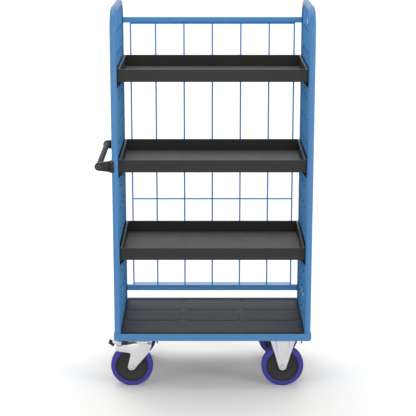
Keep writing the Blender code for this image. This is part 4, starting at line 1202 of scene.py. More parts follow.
def leg_surface(top, sizes):
    """Return one tapered leg of the fixed bracket as a sheet: across it runs a share from -1 to 1 of its
    half width, which grows in a straight line above the round end. It stands out in two ribs that draw
    together downwards. Its sides turn in, and its top flares out, each along a quarter circle.
    """
    end = LEG_END_RADIUS
    tangent = math.atan2(top, LEG_ROOT_HALF) - math.acos(end / math.hypot(LEG_ROOT_HALF, top))
    low = end * math.sin(tangent)
    at_low = end * math.cos(tangent)
    turn = np.linspace(-QUARTER_TURN, tangent, LEG_END_STEPS + 1)
    heights = np.concatenate([end * np.sin(turn), np.linspace(low, top, LEG_LINES)[1:]])
    width = np.where(
        heights <= low,
        np.sqrt(np.maximum(end**2 - heights**2, 0.0)),
        at_low + (LEG_ROOT_HALF - at_low) * (heights - low) / (top - low),
    )
    width = np.maximum(width, LEG_LEAST_WIDTH)[:, None]
    across, height = np.meshgrid(np.linspace(-1.0, 1.0, LEG_COLUMNS), heights)
    x = across * width
    rib = bell(np.abs(x), sizes.rib_share * width, sizes.rib_width)
    rib = rib * smooth_step(height, *(top * share for share in LEG_RIB_SHARES))
    flare = np.clip(height - (top - sizes.flare_radius), 0.0, sizes.flare_radius)
    out = quarter_fall(flare, sizes.flare_radius, FALL_SHARE)
    turned_in = np.clip(sizes.lip_radius - (width - np.abs(x)), 0.0, sizes.lip_radius)
    turned_in = turned_in * smooth_step(height, end, LIP_START_RADII * end)
    lip = quarter_fall(turned_in, sizes.lip_radius, FALL_SHARE)
    y = -FORK_OUTER - rib * sizes.rib_height - out + lip
    return grid_shell(np.stack([x, y, height], axis=-1))


def leg_shade(places, top):
    """Return the painted shade and light of a fixed leg: two upright creases of painted shade that fade
    downwards, a dark line of painted shade under a painted highlight along the top, and a fine dark ring of
    painted shade round the bolt.
    """
    x, height = places[:, 0], places[:, 2]
    crease = bell(np.abs(x), CREASE_PLACE, CREASE_WIDTH)
    crease = crease * smooth_step(height, *(top * share for share in CREASE_SHARES))
    line = bell(height, top - LEG_LINE_DROP, LEG_LINE_WIDTH)
    ring = bell(np.hypot(x, height), LEG_RING_RADIUS, LEG_RING_WIDTH)
    dark = crease * CREASE_DARKNESS_SHARE + line * LEG_LINE_SHARE + ring * LEG_RING_SHARE
    band = smooth_step(height, *(top - drop for drop in LEG_BAND_DROPS))
    return band * LEG_BAND_SHARE - np.clip(dark, 0.0, 1.0)


def make_fixed_brackets(sizes):
    """Make the two fixed brackets: top plate and two ribbed, tapered legs."""
    for _, word in FACES:
        node = f"{word}_fixed_bracket"
        place = middle(f"{word}_fixed_rim")
        top = LEG_TOP - place[2]
        leg = leg_surface(top, sizes)
        legs = [moved(shell, place) for shell in (leg, mirrored(leg, 1))]
        name = f"{word}_fixed_legs"
        piece = new_piece(name, legs, finish("zinc_plate"), "frame", closed=False)
        # Painted shade in the creases and round the bolt, and a painted highlight along the top.
        paint_shade_and_light(piece, lambda places: leg_shade(places - place, top))
        add_wall(piece, sizes.leg_wall)
        soften_edges(piece, LEG_EDGE, 1)
        shells = plate_shells(place)
        new_piece(f"{word}_fixed_plate", shells, finish("zinc_plate"), "frame", [node])


# Swivel heads

FORK_SHEET = 0.004
FORK_OUTLINE_SHARES = (
    (-0.787, 0.938), (-0.745, 1.000), (-0.430, 1.035), (-0.400, 1.190), (-0.360, 1.235), (-0.240, 1.235),
    (-0.190, 1.190), (-0.150, 1.100), (0.118, 1.170), (0.957, 1.100), (0.834, 0.726), (0.200, -0.030),
    (0.130, -0.130), (0.033, -0.180), (-0.070, -0.180), (-0.137, -0.155), (-0.198, -0.033),
    (-0.052, 0.598), (-0.065, 0.650), (-0.113, 0.683), (-0.726, 0.787),
)
FORK_CORNER_RADII_SHARES = (
    0.03, 0.03, 0.04, 0.05, 0.03, 0.03, 0.04, 0.04, 0.2, 0.03, 0.5, 0.12, 0.08, 0.06, 0.05, 0.06, 0.1, 0.06,
    0.03, 0.04, 0.04,
)
CROWN_STEPS = (
    (0.009, 0.0), (0.030, 0.0), (0.0365, 0.0015), (0.038, 0.004), (0.038, 0.009), (0.0365, 0.0115),
    (0.034, 0.0125), (0.034, 0.018), (0.009, 0.018),
)
BRIDGE_HALVES = (0.036, 0.0265)
BRIDGE_CORNER = 0.004
BRIDGE_DROPS = (0.021, 0.0165)
BRIDGE_EDGE = 0.0008
RACE_BORE = 0.015
RACE_EDGE_STEPS = ((0.006, 0.0), (0.002, 0.0012), (0.0, 0.0035))
RACE_GROOVE_STEPS = ((0.0015, 0.46), (0.0045, 0.50), (0.0015, 0.54))


def closed_round(corners, radii, steps=CORNER_STEPS):
    """Round every corner of a closed outline of pairs."""
    corners = np.asarray(corners, dtype=float)
    start = (corners[-1] + corners[0]) / 2
    path = np.column_stack([np.concatenate([[start], corners, [start]]), np.zeros(len(corners) + 2)])
    return rounded_path(path, radii, steps)[:-1, :2]


def fork_outline():
    """Return the swivel fork's side outline about the wheel's centre, counter-clockwise."""
    outline = np.array(FORK_OUTLINE_SHARES) * WHEEL_RADIUS
    radii = np.array(FORK_CORNER_RADII_SHARES) * WHEEL_RADIUS
    return closed_round(outline[::-1], radii[::-1])


def race_profile(node):
    """Return the section of the two ball races: round edges above and below, and a groove between."""
    low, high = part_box(node)
    radius = (high[0] - low[0]) / 2
    height = high[2] - low[2]
    profile = [(RACE_BORE, high[2])]
    profile += [(radius - inset, high[2] - drop) for inset, drop in RACE_EDGE_STEPS]
    profile += [(radius - inset, high[2] - height * share) for inset, share in RACE_GROOVE_STEPS]
    profile += [(radius - inset, low[2] + rise) for inset, rise in reversed(RACE_EDGE_STEPS)]
    return profile + [(RACE_BORE, low[2])]


def yoke_shells(name, axis, edge):
    """Return the fork's two side plates, the crown that turns under the race, and the bridge below it."""
    place = middle(f"{name}_rim")
    shells = []
    for side in (-1, 1):
        low = min(side * FORK_OUTER, side * (FORK_OUTER - FORK_SHEET))
        leg = slab(fork_outline(), low, low + FORK_SHEET, edge)
        shells.append(moved(standing(leg), place))
    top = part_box(f"{name}_fork")[1][2]
    crown = lathed([(radius, top - drop) for radius, drop in CROWN_STEPS], ring=True)
    outline = rounded_rectangle(*BRIDGE_HALVES, BRIDGE_CORNER)
    bridge = slab(outline, *(top - drop for drop in BRIDGE_DROPS), BRIDGE_EDGE)
    return shells + [moved(shell, (axis[0], axis[1], 0.0)) for shell in (crown, bridge)]


def make_swivel_heads(sizes):
    """Make the turning part of each swivel caster, and the plate and race that hold it."""
    for _, word in FACES:
        name = f"{word}_swivel"
        axis = middle(f"{name}_race")
        zinc = finish("zinc_plate")
        shells = yoke_shells(name, axis, sizes.fork_edge)
        new_piece(f"{name}_yoke", shells, zinc, f"{name}_head", [f"{name}_fork"])
        race = moved(lathed(race_profile(f"{name}_race"), ring=True), (axis[0], axis[1], 0.0))
        new_piece(f"{name}_bearing", [race], zinc, "frame", [f"{name}_race"])
        new_piece(f"{name}_top_plate", plate_shells(axis), zinc, "frame", [f"{name}_plate"])


# Wheel brakes

PIVOT_SHARES = (-0.300, 1.130)
PIVOT_RADIUS = 0.0085
PIVOT_STEPS = 6
SEAT_SHARES = (-0.955, 1.140)
SEAT_DEGREES = -48.0
SEAT_RISE = 0.006
SHOE_SHARES = ((-0.470, 0.945), (-0.330, 1.005))
LEVER_THICKNESS = 0.006
LEVER_CORNER_RADIUS = 0.0015
LEVER_CORNER_STEPS = 3
LEVER_EDGE = 0.0012
RIVET_STEPS = ((0.0, 0.0), (0.003, 0.0), (0.004, 0.001))
PEDAL_SIZE = (0.0290, 0.042, 0.0105)
PEDAL_EDGE = 0.003
PEDAL_SLOPE_DEGREES = 35.0
PEDAL_DROP = 0.004
PEDAL_RIBS = 5
PEDAL_RIB_SIZE = (0.0028, 0.036, 0.003)
PEDAL_RIB_EDGE = 0.0010
PEDAL_RIB_STEPS = 2
PEDAL_RIB_SPREAD = 0.023
PEDAL_RIB_RISE = 0.0052
CHEEK_SIZE = (0.031, 0.004, 0.0175)
CHEEK_EDGE = 0.0015
CHEEK_BACK = 0.0025
CHEEK_RISE = 0.006


def lever_outline():
    """Return the brake arm's side outline about the wheel's centre, counter-clockwise: from the seat under
    the pedal round the pivot and back along the shoe.
    """
    pivot = np.array(PIVOT_SHARES) * WHEEL_RADIUS
    slope = math.radians(SEAT_DEGREES)
    along = np.array((math.cos(slope), math.sin(slope)))
    upward = np.array((-along[1], along[0]))
    seat = np.array(SEAT_SHARES) * WHEEL_RADIUS + upward * (SEAT_RISE + TOUCH_GAP)
    thick = LEVER_THICKNESS
    inner, outer = (np.array(share) * WHEEL_RADIUS for share in SHOE_SHARES)
    outline = [seat + along * thick, seat - along * thick / 2]
    outline += list(arc_points(pivot, PIVOT_RADIUS, QUARTER_TURN, -QUARTER_TURN, PIVOT_STEPS))
    outline += [outer, inner, inner + (seat - inner) / 3 + (0.0, thick / 2)]
    return np.array(outline)[::-1]


def pedal_shells(centre, pin):
    """Return the pedal with its ribs, and the block on each side of the fork at the pin."""
    slope = turn_about("Y", PEDAL_SLOPE_DEGREES)
    shells = [moved(rounded_box(PEDAL_SIZE, PEDAL_EDGE), centre, slope)]
    for index in range(PEDAL_RIBS):
        along = (index / (PEDAL_RIBS - 1) - 0.5) * PEDAL_RIB_SPREAD
        rib = rounded_box(PEDAL_RIB_SIZE, PEDAL_RIB_EDGE, PEDAL_RIB_STEPS)
        shells.append(moved(moved(rib, (along, 0.0, PEDAL_RIB_RISE)), centre, slope))
    for end in (-1, 1):
        shift = (-CHEEK_BACK, end * (FORK_OUTER + TOUCH_GAP + CHEEK_SIZE[1] / 2), CHEEK_RISE)
        shells.append(moved(rounded_box(CHEEK_SIZE, CHEEK_EDGE), pin + np.array(shift)))
    return shells


def make_brakes():
    """Make each wheel brake: pressed arm, pin and ribbed pedal."""
    for _, word in FACES:
        name = f"{word}_swivel_brake"
        body = f"{word}_brake"
        outline = lever_outline()
        arm = closed_round(outline, [LEVER_CORNER_RADIUS] * len(outline), LEVER_CORNER_STEPS)
        half = extent(f"{name}_arm")[1] / 2
        arm = moved(standing(slab(arm, -half, half, LEVER_EDGE)), middle(f"{word}_swivel_rim"))
        new_piece(f"{name}_lever", [arm], finish("zinc_plate"), body, [f"{name}_arm"])
        pin = middle(f"{name}_pin")
        reach = extent(f"{name}_pin")[1] / 2
        profile = mirror_profile([(radius, reach - drop) for radius, drop in RIVET_STEPS])
        rivet = moved(standing(lathed(profile, SMALL_STEPS)), pin)
        new_piece(f"{name}_rivet", [rivet], finish("zinc_plate"), body, [f"{name}_pin"])
        shells = pedal_shells(middle(f"{name}_pedal") - (0.0, 0.0, PEDAL_DROP), pin)
        new_piece(f"{name}_pad", shells, finish("rim_plastic"), body, [f"{name}_pedal"])


# Finishes

CURVE_START = 0.04045
STRAIGHT_SLOPE = 12.92
CURVE_SHIFT = 0.055
CURVE_POWER = 2.4


def srgb(red, green, blue):
    """Turn a colour written from 0 to 255 into linear light: a straight line for the darkest values, and a
    power curve above them.
    """
    value = np.array((red, green, blue)) / 255
    curve = ((value + CURVE_SHIFT) / (1 + CURVE_SHIFT)) ** CURVE_POWER
    return tuple(np.where(value <= CURVE_START, value / STRAIGHT_SLOPE, curve).tolist())


def grain_values(fine, coarse, coarse_share, patch, patch_depth):
    """Return the values of a finish's grain."""
    return {
        "Fine Scale": fine, "Coarse Scale": coarse, "Coarse Share": coarse_share, "Patch Scale": patch,
        "Patch Depth": patch_depth,
    }


# The mask on faces that look up stands for dust and for a painted sheen.
DUST_AND_SHEEN_COLOUR = (0.42, 0.41, 0.39)
DUST_AND_SHEEN_VALUES = {"Amount": 0.1, "Scale": 18.0}
DUST_AND_SHEEN_DETAIL = 4.0
DUST_AND_SHEEN_FACING = (0.6, 1.0, 0.0, 1.0)
DUST_AND_SHEEN_BREAKS = (0.35, 0.75, 0.7, 1.0)
COARSE_DETAIL = 1.0
PATCH_DETAIL = 3.0
SLOW_ROUGHNESS = 0.6
# Colour factors at the ends of the marks: painted shade at -1, painted light at 1.
CREASE_SHADE = 0.25
BAND_LIGHT = 1.5
HEIGHT_RANGE = (0.3, 0.7)
ROUGHNESS_CHANGE = 0.06
PLAIN_GRAIN = grain_values(900.0, 160.0, 0.5, 4.0, 0.04)
BLUE_GRAIN = grain_values(1400.0, 260.0, 0.7, 3.0, 0.06)
BLACK_GRAIN = grain_values(1800.0, 500.0, 0.5, 3.0, 0.08)
DECK_GRAIN = grain_values(1500.0, 420.0, 0.5, 5.0, 0.10)
PLASTIC_GRAIN = grain_values(1700.0, 500.0, 0.5, 8.0, 0.10)
GRIP_GRAIN = grain_values(1100.0, 300.0, 0.6, 90.0, 0.30)
RUBBER_GRAIN = grain_values(1200.0, 300.0, 0.5, 12.0, 0.12)
ZINC_GRAIN = grain_values(700.0, 90.0, 0.5, 30.0, 0.10)
# The upward-face mask amounts of blue_paint and black_paint are mostly a painted sheen on tube tops and tray
# floors; the small amounts of the others are dust.
FINISHES = {
    "blue_paint": {"colour": "blue", "rough": 0.40, "bump": 0.00003, "dust": 0.12, "specular": 0.35},
    # Lighter copy of the blue coat for the sheets and square tubes: painted light.
    "inner_blue": {"colour": "inner_blue", "rough": 0.6, "bump": 0.00003, "dust": 0.03, "specular": 0.0},
    # Lighter copy of the blue coat for the net: painted light.
    "wire_blue": {"colour": "wire_blue", "rough": 0.6, "bump": 0.00003, "dust": 0.03, "specular": 0.0},
    "black_paint": {"colour": "black", "rough": 0.40, "bump": 0.00006, "dust": 0.34, "specular": 0.10},
    "bracket_paint": {"colour": "bracket", "rough": 0.45, "bump": 0.00006, "dust": 0.02, "specular": 0.1},
    "deck_plastic": {"colour": "deck", "rough": 0.62, "bump": 0.00015, "dust": 0.06, "specular": 0.4},
    "handle_plastic": {"colour": "handle", "rough": 0.5, "bump": 0.00012, "dust": 0.02, "specular": 0.2},
    "rim_plastic": {"colour": "rim", "rough": 0.6, "bump": 0.00010, "specular": 0.2},
    "grip_plastic": {"colour": "grip", "rough": 0.75, "bump": 0.00025, "specular": 0.2},
    "tyre_rubber": {"colour": "tyre", "rough": 0.65, "bump": 0.00012, "specular": 0.2},
    "zinc_plate": {"colour": "zinc", "rough": 0.36, "bump": 0.00003, "metallic": 0.55},
}
GRAINS = {
    "blue_paint": BLUE_GRAIN, "inner_blue": BLUE_GRAIN, "wire_blue": BLUE_GRAIN, "black_paint": BLACK_GRAIN,
    "bracket_paint": BLACK_GRAIN, "deck_plastic": DECK_GRAIN, "handle_plastic": PLASTIC_GRAIN,
    "rim_plastic": PLASTIC_GRAIN, "grip_plastic": GRIP_GRAIN, "tyre_rubber": RUBBER_GRAIN,
    "zinc_plate": ZINC_GRAIN,
}


def add_node(tree, kind, values=None, **settings):
    """Add one node, with its settings, and values for its inputs by name or number."""
    node = tree.nodes.new(kind)
    for key, value in settings.items():
        setattr(node, key, value)
    for key, value in (values or {}).items():
        if isinstance(value, bpy.types.NodeSocket):
            tree.links.new(value, node.inputs[key])
        else:
            node.inputs[key].default_value = value
    return node


def calculated(tree, operation, first, second):
    """Add a math node and return its value."""
    return add_node(tree, "ShaderNodeMath", {0: first, 1: second}, operation=operation).outputs[0]


def new_group(name, inputs, outputs):
    """Make an empty shader node group whose inputs and outputs are numbers."""
    group = bpy.data.node_groups.new(name, "ShaderNodeTree")
    for word, value in inputs.items():
        group.interface.new_socket(word, in_out="INPUT", socket_type="NodeSocketFloat").default_value = value
    for word in outputs:
        group.interface.new_socket(word, in_out="OUTPUT", socket_type="NodeSocketFloat")
    return group, group.nodes.new("NodeGroupInput"), group.nodes.new("NodeGroupOutput")


def noise(tree, coordinates, scale, detail=2.0, roughness=0.5):
    """Add a noise texture and return its value."""
    values = {"Vector": coordinates, "Scale": scale, "Detail": detail, "Roughness": roughness}
    return add_node(tree, "ShaderNodeTexNoise", values).outputs["Fac"]


def spread(tree, value, low, high, to_low, to_high):
    """Map a value from one range onto another and hold it at the ends."""
    values = {0: value, 1: low, 2: high, 3: to_low, 4: to_high}
    return add_node(tree, "ShaderNodeMapRange", values, clamp=True).outputs[0]


def make_grain_group():
    """Build the grain of a coat or a moulding: fine and coarse bumps as a height, and slow patches as a
    tone round one.
    """
    group, enter, leave = new_group("trolley_grain", PLAIN_GRAIN, ("Height", "Tone"))
    place = add_node(group, "ShaderNodeTexCoord").outputs["Object"]
    fine = noise(group, place, enter.outputs["Fine Scale"])
    coarse = noise(group, place, enter.outputs["Coarse Scale"], COARSE_DETAIL)
    values = {0: enter.outputs["Coarse Share"], 2: fine, 3: coarse}
    height = add_node(group, "ShaderNodeMix", values).outputs[0]
    patch = noise(group, place, enter.outputs["Patch Scale"], PATCH_DETAIL, SLOW_ROUGHNESS)
    centred = calculated(group, "SUBTRACT", patch, 0.5)
    deep = calculated(group, "MULTIPLY", centred, enter.outputs["Patch Depth"])
    tone = calculated(group, "ADD", deep, 1.0)
    group.links.new(height, leave.inputs["Height"])
    group.links.new(tone, leave.inputs["Tone"])


def make_dust_and_sheen_group():
    """Build a mask of dust and of a painted sheen: strong on faces that look up, broken by noise."""
    group, enter, leave = new_group("trolley_dust", DUST_AND_SHEEN_VALUES, ("Mask",))
    coordinates = add_node(group, "ShaderNodeTexCoord")
    upright = add_node(group, "ShaderNodeSeparateXYZ", {0: coordinates.outputs["Normal"]}).outputs["Z"]
    level = spread(group, upright, *DUST_AND_SHEEN_FACING)
    speckle = noise(group, coordinates.outputs["Object"], enter.outputs["Scale"], DUST_AND_SHEEN_DETAIL, SLOW_ROUGHNESS)
    broken = spread(group, speckle, *DUST_AND_SHEEN_BREAKS)
    both = calculated(group, "MULTIPLY", level, broken)
    mask = calculated(group, "MULTIPLY", both, enter.outputs["Amount"])
    group.links.new(mask, leave.inputs["Mask"])


def make_finish(name, colour, rough, grain, bump, dust=0.0, specular=0.5, metallic=0.0):
    """Build one finish: its colour is toned by slow patches and by the piece's own marks of painted shade and
    light, and lightened by dust and a painted sheen on faces that look up, its roughness follows the grain,
    and the grain's height drives the bump.
    """
    material = bpy.data.materials.new(name)
    material.use_nodes = True
    tree = material.node_tree
    tree.nodes.clear()
    texture = add_node(tree, "ShaderNodeGroup", node_tree=bpy.data.node_groups["trolley_grain"])
    for word, value in grain.items():
        texture.inputs[word].default_value = value
    tone = texture.outputs["Tone"]
    # The piece's marks scale its colour: down for painted shade, up for painted light.
    relief = add_node(tree, "ShaderNodeAttribute", attribute_name="relief").outputs["Fac"]
    for values in ((-1.0, 0.0, CREASE_SHADE, 1.0), (0.0, 1.0, 1.0, BAND_LIGHT)):
        tone = calculated(tree, "MULTIPLY", tone, spread(tree, relief, *values))
    toned = add_node(tree, "ShaderNodeVectorMath", {0: colour, "Scale": tone}, operation="SCALE").outputs[0]
    if dust:
        cover = add_node(tree, "ShaderNodeGroup", node_tree=bpy.data.node_groups["trolley_dust"])
        cover.inputs["Amount"].default_value = dust
        values = {0: cover.outputs["Mask"], 6: toned, 7: (*DUST_AND_SHEEN_COLOUR, 1.0)}
        toned = add_node(tree, "ShaderNodeMix", values, data_type="RGBA").outputs[2]
    height = texture.outputs["Height"]
    roughness = spread(tree, height, *HEIGHT_RANGE, rough - ROUGHNESS_CHANGE, rough + ROUGHNESS_CHANGE)
    bumps = add_node(tree, "ShaderNodeBump", {"Strength": 1.0, "Distance": bump, "Height": height})
    values = {
        "Base Color": toned, "Roughness": roughness, "Metallic": metallic, "Specular IOR Level": specular,
        "Normal": bumps.outputs[0],
    }
    shader = add_node(tree, "ShaderNodeBsdfPrincipled", values)
    surface = add_node(tree, "ShaderNodeOutputMaterial")
    tree.links.new(shader.outputs[0], surface.inputs[0])


def finish(name):
    """Return a finish that the finishes' operator has built."""
    return bpy.data.materials[f"trolley_{name}"]


def make_finishes(colours):
    """Build the node groups and the finishes, and paint the CAD nodes that stay."""
    make_grain_group()
    make_dust_and_sheen_group()
    for name, values in FINISHES.items():
        colour = tuple(getattr(colours, values["colour"]))
        make_finish(f"trolley_{name}", **{**values, "colour": colour, "grain": GRAINS[name]})
    for _, word in FACES:
        for side in SIDES:
            paint_node(f"{word}_{side}_corner_plate", finish("blue_paint"))
        paint_node(f"{word}_swivel_kingpin", finish("zinc_plate"))


# Stage

FLOOR_SIZE = 40.0
SUNS = (
    ("overhead", 77.0, 180.0, 44.0, "overhead_strength"),
    ("front", 12.0, 0.0, 20.0, "front_strength"),
    ("front_right", 7.0, 60.0, 25.0, "right_strength"),
    ("front_left", 7.0, -60.0, 25.0, "left_strength"),
    ("behind", 35.0, 200.0, 60.0, "back_strength"),
)
CAMERA_PLACE = (0.0162, -6.0316, 2.3577)
CAMERA_PITCH = 13.384
CAMERA_SENSOR = 36.0
CAMERA_LENS = 112.45
CAMERA_SHIFT = -0.05


def make_floor(stage):
    """Lay the pale floor. What the camera sees of it is lifted a little, so that open floor is white."""
    half = FLOOR_SIZE / 2
    points = np.array([[(-half, -half, 0.0), (half, -half, 0.0)], [(-half, half, 0.0), (half, half, 0.0)]])
    mesh = bpy.data.meshes.new("floor")
    points, faces = grid_shell(points)
    mesh.from_pydata((points + (0.0, 0.0, stage.floor_height)).tolist(), [], faces)
    floor = bpy.data.objects.new("floor", mesh)
    bpy.context.scene.collection.objects.link(floor)
    material = bpy.data.materials.new("pale_floor")
    material.use_nodes = True
    tree = material.node_tree
    tree.nodes.clear()
    path = add_node(tree, "ShaderNodeLightPath")
    seen = calculated(tree, "MAXIMUM", path.outputs["Is Camera Ray"], path.outputs["Is Glossy Ray"])
    values = {0: seen, 6: (*stage.floor_colour, 1.0), 7: (*stage.seen_floor, 1.0)}
    paleness = add_node(tree, "ShaderNodeMix", values, data_type="RGBA")
    mixed = add_node(tree, "ShaderNodeBsdfDiffuse", {0: paleness.outputs[2]})
    surface = add_node(tree, "ShaderNodeOutputMaterial")
    tree.links.new(mixed.outputs[0], surface.inputs[0])
    mesh.materials.append(material)


def make_world(stage):
    """Light the scene from all round: white where the camera or a reflection sees it, plain elsewhere."""
    world = bpy.data.worlds.new("studio")
    bpy.context.scene.world = world
    world.use_nodes = True
    tree = world.node_tree
    tree.nodes.clear()
    path = add_node(tree, "ShaderNodeLightPath")
    seen = calculated(tree, "MAXIMUM", path.outputs["Is Camera Ray"], path.outputs["Is Glossy Ray"])
    seen = calculated(tree, "MAXIMUM", seen, path.outputs["Is Transmission Ray"])
    strength = spread(tree, seen, 0.0, 1.0, stage.fill_level, 1.0)
    light = add_node(tree, "ShaderNodeBackground", {0: (1.0, 1.0, 1.0, 1.0), 1: strength})
    surface = add_node(tree, "ShaderNodeOutputWorld")
    tree.links.new(light.outputs[0], surface.inputs[0])


def add_sun(name, rise, bearing, spread_degrees, strength):
    """Add one broad sun, which lights every place alike, from a height and a bearing in degrees. The
    bearing is turned from the front towards the right.
    """
    lamp = bpy.data.lights.new(name, "SUN")
    lamp.angle = math.radians(spread_degrees)
    lamp.energy = strength
    holder = bpy.data.objects.new(name, lamp)
    bpy.context.scene.collection.objects.link(holder)
    holder.rotation_euler = (math.radians(90 - rise), 0.0, math.radians(bearing))


def make_camera():
    """Set the camera up as the photograph was taken: from the front, a little above the top tray."""
    camera = bpy.data.cameras.new("camera")
    camera.sensor_width = CAMERA_SENSOR
    camera.lens = CAMERA_LENS
    camera.shift_y = CAMERA_SHIFT
    holder = bpy.data.objects.new("camera", camera)
    holder.location = CAMERA_PLACE
    holder.rotation_euler = (math.radians(90 - CAMERA_PITCH), 0.0, 0.0)
    bpy.context.scene.collection.objects.link(holder)
    bpy.context.scene.camera = holder


def make_stage(stage):
    """Set up the floor, the world, the lamps and the camera."""
    make_floor(stage)
    make_world(stage)
    for name, rise, bearing, spread_degrees, strength in SUNS:
        add_sun(name, rise, bearing, spread_degrees, getattr(stage, strength))
    make_camera()
    bpy.context.scene.view_settings.view_transform = "Standard"


# Sizes and colours that a user would change

def length(name, description, default):
    """Return a length property in metres."""
    return FloatProperty(
        name=name, description=description, default=default, min=0.0, max=1.0, unit="LENGTH", precision=4
    )


def strength(name, description, default):
    """Return a light's strength as a property."""
    return FloatProperty(name=name, description=description, default=default)


def colour(name, description, default):
    """Return a colour property from values of 0 to 255."""
    return FloatVectorProperty(
        name=name, description=description, default=srgb(*default), size=3, min=0.0, max=1.0, subtype="COLOR"
    )


class TrolleySizes(PropertyGroup):
    """Sizes of the details that the frame doesn't set."""

    weld_bead: length("Weld Bead", "Radius of the weld at a tube's foot", 0.0016)
    fold_radius: length("Rail Fold", "Outer radius of a rail's folds", 0.0028)
    collar_height: length("Collar Height", "How far a hole's collar stands out", 0.0055)
    collar_width: length("Collar Width", "Diameter of a collar at its root", 0.0120)
    groove_width: length("Groove Width", "Width of the deck's grooves", 0.022)
    groove_depth: length("Groove Depth", "Depth of the deck's grooves", 0.0024)
    pad_corner_radius: length("Pad Corner", "Radius of the deck pads' corners", 0.026)
    wire_diameter: length("Wire", "Diameter of the net's wires", 0.007)
    tray_fold_radius: length("Tray Fold", "Outer radius of a tray's folds", 0.0018)
    grip_collar: length("Grip Collar", "Width of the smooth collar at each end of the grip", 0.012)
    rib_height: length("Rib Height", "How far a bracket's ribs stand out", 0.0022)
    rib_width: length("Rib Width", "Half the width of a bracket's ribs", 0.0045)
    rib_share: FloatProperty(name="Rib Place", description="Share of the leg's half width", default=0.50)
    flare_radius: length("Flare", "Radius between a bracket's leg and its plate", 0.008)
    lip_radius: length("Lip", "Radius of a bracket leg's turned edges", 0.0035)
    leg_wall: length("Leg Wall", "Thickness of a bracket's leg", 0.0035)
    fork_edge: length("Fork Edge", "Radius of the fork's edges", 0.0014)


class TrolleyColours(PropertyGroup):
    """Colours of the finishes."""

    blue: colour("Blue Coat", "Powder coat of the frame", (66, 121, 171))
    # A lighter copy of the blue coat for the end sheets and square tubes inside the frame: painted light.
    inner_blue: colour("Inner Blue", "Powder coat of the sheets and the tubes behind", (94, 156, 210))
    # A lighter copy of the blue coat for the net inside the frame: painted light.
    wire_blue: colour("Wire Blue", "Powder coat of the net", (70, 162, 232))
    black: colour("Black Coat", "Powder coat of the trays", (43, 43, 43))
    bracket: colour("Bracket Coat", "Powder coat of the brackets and clips", (14, 14, 14))
    deck: colour("Deck", "Moulded deck", (58, 60, 63))
    handle: colour("Handle", "Moulded arms and clamps", (36, 36, 36))
    grip: colour("Grip", "Moulded grip", (80, 80, 80))
    rim: colour("Rim", "Moulded rims and pedals", (42, 42, 42))
    tyre: colour("Tyre", "Rubber tyres", (58, 60, 138))
    zinc: colour("Zinc", "Zinc plate", (204, 205, 207))


class TrolleyStage(PropertyGroup):
    """Floor and light."""

    floor_colour: FloatVectorProperty(
        name="Floor", description="Colour that the floor throws back on the trolley",
        default=(0.8, 0.8, 0.8), size=3, min=0.0, max=1.0, subtype="COLOR",
    )
    seen_floor: FloatVectorProperty(
        name="Seen Floor",
        description="Colour of the floor that the camera sees, at which open floor is white",
        default=(1.15, 1.13, 1.10), size=3, min=0.0, max=2.0, subtype="COLOR",
    )
    floor_height: length("Floor Height", "Height of the floor", 0.0)
    fill_level: strength("Fill", "Strength of the light from all round", 0.46)
    overhead_strength: strength("Overhead", "Strength of the light from above", 1.1)
    front_strength: strength("Front", "Strength of the light from the front", 0.8)
    right_strength: strength("Right", "Strength of the light from the front's right", 1.2)
    left_strength: strength("Left", "Strength of the light from the front's left", 0.85)
    back_strength: strength("Back", "Strength of the light from behind", 0.4)


class TROLLEY_OT_finishes(Operator):
    """Build the node groups and finishes, and paint the CAD nodes that stay"""

    bl_idname = "trolley.finishes"
    bl_label = "Mix Finishes"

    def execute(self, context):
        make_finishes(context.scene.trolley_colours)
        return {"FINISHED"}


class TROLLEY_OT_arches(Operator):
    """Build the bent tube of each end frame"""

    bl_idname = "trolley.arches"
    bl_label = "Add End Tubes"

    def execute(self, context):
        make_arches(context.scene.trolley_sizes)
        return {"FINISHED"}


class TROLLEY_OT_end_sheets(Operator):
    """Build the perforated sheet of each end frame"""

    bl_idname = "trolley.end_sheets"
    bl_label = "Add End Sheets"

    def execute(self, context):
        make_end_sheets(context.scene.trolley_sizes)
        return {"FINISHED"}


class TROLLEY_OT_deck_frame(Operator):
    """Build the four rails round the deck"""

    bl_idname = "trolley.deck_frame"
    bl_label = "Add Deck Frame"

    def execute(self, context):
        make_deck_frame(context.scene.trolley_sizes)
        return {"FINISHED"}


class TROLLEY_OT_deck(Operator):
    """Build the moulded deck and its ribs"""

    bl_idname = "trolley.deck"
    bl_label = "Add Deck"

    def execute(self, context):
        make_deck(context.scene.trolley_sizes)
        return {"FINISHED"}


class TROLLEY_OT_back_wall(Operator):
    """Build the square tubes and the wire net"""

    bl_idname = "trolley.back_wall"
    bl_label = "Add Back Wall"

    def execute(self, context):
        make_back_wall(context.scene.trolley_sizes)
        return {"FINISHED"}


class TROLLEY_OT_trays(Operator):
    """Build the three lift-out trays"""

    bl_idname = "trolley.trays"
    bl_label = "Add Trays"

    def execute(self, context):
        make_trays(context.scene.trolley_sizes)
        return {"FINISHED"}


class TROLLEY_OT_brackets(Operator):
    """Build the brackets that carry the trays"""

    bl_idname = "trolley.brackets"
    bl_label = "Add Brackets"

    def execute(self, context):
        make_brackets()
        return {"FINISHED"}


class TROLLEY_OT_handle(Operator):
    """Build the push handle"""

    bl_idname = "trolley.handle"
    bl_label = "Add Handle"

    def execute(self, context):
        make_handle(context.scene.trolley_sizes)
        return {"FINISHED"}


class TROLLEY_OT_wheels(Operator):
    """Build rims, tyres and wheel bolts"""

    bl_idname = "trolley.wheels"
    bl_label = "Add Wheels"

    def execute(self, context):
        make_wheels()
        return {"FINISHED"}


class TROLLEY_OT_fixed_brackets(Operator):
    """Build the brackets of the fixed casters"""

    bl_idname = "trolley.fixed_brackets"
    bl_label = "Add Fixed Brackets"

    def execute(self, context):
        make_fixed_brackets(context.scene.trolley_sizes)
        return {"FINISHED"}


